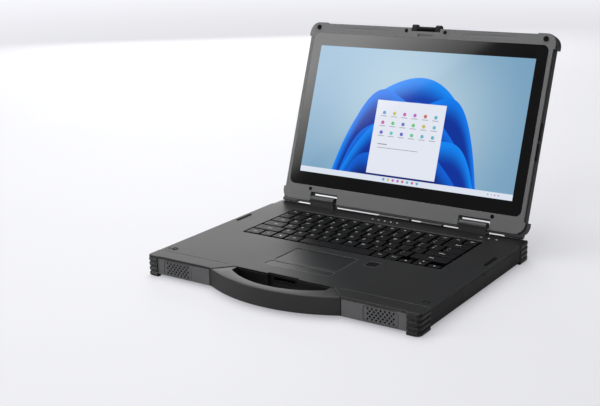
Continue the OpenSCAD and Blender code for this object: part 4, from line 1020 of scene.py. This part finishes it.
class LAPTOP_OT_rims(bpy.types.Operator):
    """Make the thin light-grey rims around the touchpad, its buttons and the reader, a painted highlight
    along their edges
    """

    bl_idname = "laptop.rims"
    bl_label = "Rims"

    def execute(self, context):
        top = DECK_Z / MM + RIM_PROUD
        sets = [
            rim_points(base_point(x, y, top), *(size * MM for size in sizes), RIM_DEPTH)
            for x, y, *sizes in RIMS
        ]
        piece = make_piece("painted_highlight_rims", sets, "Painted highlight rim", "base")
        return {"FINISHED"}


BAR_LENGTH, BAR_STARTS = 21.5, (90, 115)


class LAPTOP_OT_lid_bars(bpy.types.Operator):
    """Make the small rubber bars in the lid's side edges"""

    bl_idname = "laptop.lid_bars"
    bl_label = "Lid edge bars"

    def execute(self, context):
        sets = [lid_bar(side, z, z + BAR_LENGTH) for side in (-1, 1) for z in BAR_STARTS]
        piece = make_piece("edge_bars", sets, "Black plastic", "lid")
        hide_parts("lid_edge_inserts")
        return {"FINISHED"}


MARKS_X, MARKS_Y = (-24, -15, -6, 3, 12, 128, 138, 148), 112
# half width, half depth and corner radius, used in turn
MARK_SHAPES = ((1.2, 1.2, 1.19), (1.6, 0.6, 0.3), (0.9, 1.3, 0.3), (1.3, 0.9, 0.89))
RINGS_X, RINGS_Y = (-167, 170), -109
RING_RADIUS, RING_TUBE = 3.3 * MM, 0.85 * MM
INLAYS_X, INLAYS_Y = (-173, 165.4), -111
INLAY_SHAPE, INLAY_HEIGHT = (2.7, 1.7, 1.6), 0.7 * MM


class LAPTOP_OT_deck_marks(bpy.types.Operator):
    """Print the status marks on the deck and set the inlays in its front corners"""

    bl_idname = "laptop.deck_marks"
    bl_label = "Deck marks"

    def execute(self, context):
        deck = DECK_Z / MM
        sets = []
        for i, x in enumerate(MARKS_X):
            prism, faces = flat_prism(corner_ring(*(v * MM for v in MARK_SHAPES[i % 4])), INK)
            sets.append((prism + base_point(x, MARKS_Y, deck - 0.01), faces))
        piece = make_piece("status_marks", sets, "Legend ink", "base")
        sets = [torus_points(base_point(x, RINGS_Y, deck - 0.35), RING_RADIUS, RING_TUBE) for x in RINGS_X]
        for x in INLAYS_X:
            prism, faces = flat_prism(corner_ring(*(v * MM for v in INLAY_SHAPE)), INLAY_HEIGHT)
            sets.append((prism + base_point(x, INLAYS_Y, deck - 0.95), faces))
        piece = make_piece("corner_inlays", sets, "Black plastic", "base")
        return {"FINISHED"}


# ---- stage ----

CAMERA_AT = Vector((0.6287, -1.0145, 0.4163))
CAMERA_TURN = (34.93, 16.10, -1.53)
LENS_MM = 61.99
# name, place, point looked at, width, height, watts
LIGHTS = (
    ("top_light", (-0.5, 0.3, 2.2), (0, 0, 0), 2.0, 2.0, 34),
    ("left_back_light", (-1.35, 1.6, 0.62), (-0.15, 0, 0), 1.4, 0.9, 9),
    ("front_light", (0.35, -2.6, 1.7), (0, -0.1, 0.05), 0.9, 0.6, 14),
)
ROOM_LIGHT = 0.13
CARD_EDGE = 2.075
FLOOR_HALF, FLOOR_DROP = 20.0, 0.0002
FLOOR_CORNERS = ((-1, -1), (1, -1), (1, 1), (-1, 1))


def camera_matrix():
    """The camera's place, and its turn from azimuth, elevation and roll in degrees."""
    azimuth, rise, roll = (math.radians(v) for v in CAMERA_TURN)
    back = Vector((math.sin(azimuth) * math.cos(rise), -math.cos(azimuth) * math.cos(rise), math.sin(rise)))
    right = Vector((math.cos(azimuth), math.sin(azimuth), 0))
    up = back.cross(right)
    level = right * math.cos(roll) + up * math.sin(roll)
    turn = Matrix((level, back.cross(level), back)).transposed()
    return Matrix.Translation(CAMERA_AT) @ turn.to_4x4()


def soft_box(name, place, aim, width, height, watts):
    """A rectangular area light that looks at a point."""
    light = bpy.data.lights.new(name, "AREA")
    light.shape = "RECTANGLE"
    light.size, light.size_y = width, height
    light.energy = watts
    lamp = in_scene(name, light)
    lamp.location = place
    lamp.rotation_euler = (Vector(aim) - Vector(place)).to_track_quat("-Z", "Y").to_euler()


def light_card(level):
    """A glowing card, hidden from the camera, with a slanting right edge, brighter away from it.

    With the edge at x = z - 2.075, the card's light is 1.2 + 9 * (edge - x), at most 5.5.
    """
    mesh = bpy.data.meshes.new("light_card")
    corners = [(-2.6, -1.5, 0.4), (-1.675, -1.5, 0.4), (-0.375, -1.5, 1.7), (-2.6, -1.5, 1.7)]
    mesh.from_pydata(corners, [], [(0, 3, 2, 1)])
    card = in_scene("light_card", mesh)
    material = bpy.data.materials.new("Card light")
    material.use_nodes = True
    tree = material.node_tree
    tree.nodes.clear()
    place = tree.nodes.new("ShaderNodeSeparateXYZ")
    tree.links.new(tree.nodes.new("ShaderNodeTexCoord").outputs["Object"], place.inputs[0])
    inward = minus(tree, minus(tree, place.outputs[2], CARD_EDGE), place.outputs[0])
    glow = maths(tree, "MINIMUM", maths(tree, "ADD", 1.2, times(tree, inward, 9.0)), 5.5)
    light = tree.nodes.new("ShaderNodeEmission")
    tree.links.new(times(tree, glow, level), light.inputs["Strength"])
    out = tree.nodes.new("ShaderNodeOutputMaterial")
    tree.links.new(light.outputs[0], out.inputs[0])
    mesh.materials.append(material)
    card.visible_camera = False


class LAPTOP_OT_stage(bpy.types.Operator):
    """Set the floor, the lights and the camera"""

    bl_idname = "laptop.stage"
    bl_label = "Stage"

    def execute(self, context):
        level = context.scene.laptop.light_level
        corners = [(x * FLOOR_HALF, y * FLOOR_HALF, -FLOOR_DROP) for x, y in FLOOR_CORNERS]
        mesh = bpy.data.meshes.new("floor")
        mesh.from_pydata(corners, [], [(0, 1, 2, 3)])
        floor = in_scene("floor", mesh)
        material, tree, shader = new_material("Pale floor")
        place = tree.nodes.new("ShaderNodeTexCoord").outputs["Object"]
        tree.links.new(
            mixed_colour(tree, noise(tree, place, 1.5, 2.0), (0.52, 0.52, 0.54), (0.56, 0.56, 0.58)),
            shader.inputs["Base Color"],
        )
        shader.inputs["Roughness"].default_value = 0.7
        shader.inputs["Emission Color"].default_value = (0.9, 0.9, 0.95, 1)
        seen = tree.nodes.new("ShaderNodeLightPath").outputs["Is Camera Ray"]
        across = tree.nodes.new("ShaderNodeVectorMath")
        across.operation = "LENGTH"
        tree.links.new(place, across.inputs[0])
        # the floor's own light is for the camera only and grows away from the middle
        far = ramp(tree, across.outputs["Value"], 0.7, 4.5)
        glow = maths(tree, "ADD", 0.42, times(tree, far, 0.5))
        tree.links.new(times(tree, seen, glow), shader.inputs["Emission Strength"])
        mesh.materials.append(material)

        world = bpy.data.worlds.new("Studio")
        context.scene.world = world
        world.use_nodes = True
        room = world.node_tree.nodes["Background"]
        room.inputs[0].default_value = (0.97, 0.98, 1.0, 1)
        room.inputs[1].default_value = ROOM_LIGHT * level

        for *light, watts in LIGHTS:
            soft_box(*light, watts * level)
        light_card(level)

        camera = bpy.data.cameras.new("camera")
        camera.lens = LENS_MM
        camera.sensor_width = 36
        camera.sensor_fit = "HORIZONTAL"
        camera.clip_end = 50
        view = in_scene("camera", camera)
        view.matrix_world = camera_matrix()
        context.scene.camera = view
        context.scene.view_settings.view_transform = "Standard"
        return {"FINISHED"}


class LAPTOP_PT_finish(bpy.types.Panel):
    """Lists the steps that build the finish"""

    bl_idname = "LAPTOP_PT_finish"
    bl_label = "Laptop finish"
    bl_space_type = "VIEW_3D"
    bl_region_type = "UI"
    bl_category = "Laptop"

    def draw(self, context):
        settings = context.scene.laptop
        for name in LaptopSettings.__annotations__:
            self.layout.prop(settings, name)
        for step in STEPS:
            self.layout.operator(step.bl_idname)


STEPS = (
    LAPTOP_OT_stage,
    LAPTOP_OT_finishes,
    LAPTOP_OT_key_caps,
    LAPTOP_OT_legends,
    LAPTOP_OT_bumpers,
    LAPTOP_OT_handle,
    LAPTOP_OT_rims,
    LAPTOP_OT_lid_bars,
    LAPTOP_OT_deck_marks,
)


def register():
    """Registers the settings, the operators and the panel."""
    bpy.utils.register_class(LaptopSettings)
    bpy.types.Scene.laptop = PointerProperty(type=LaptopSettings)
    for step in STEPS:
        bpy.utils.register_class(step)
    bpy.utils.register_class(LAPTOP_PT_finish)


def unregister():
    """Takes everything off again."""
    bpy.utils.unregister_class(LAPTOP_PT_finish)
    for step in reversed(STEPS):
        bpy.utils.unregister_class(step)
    del bpy.types.Scene.laptop
    bpy.utils.unregister_class(LaptopSettings)


def main():
    """Builds everything in order."""
    register()
    for step in STEPS:
        group, name = step.bl_idname.split(".")
        getattr(getattr(bpy.ops, group), name)()
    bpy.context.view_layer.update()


if __name__ == "__main__":
    main()
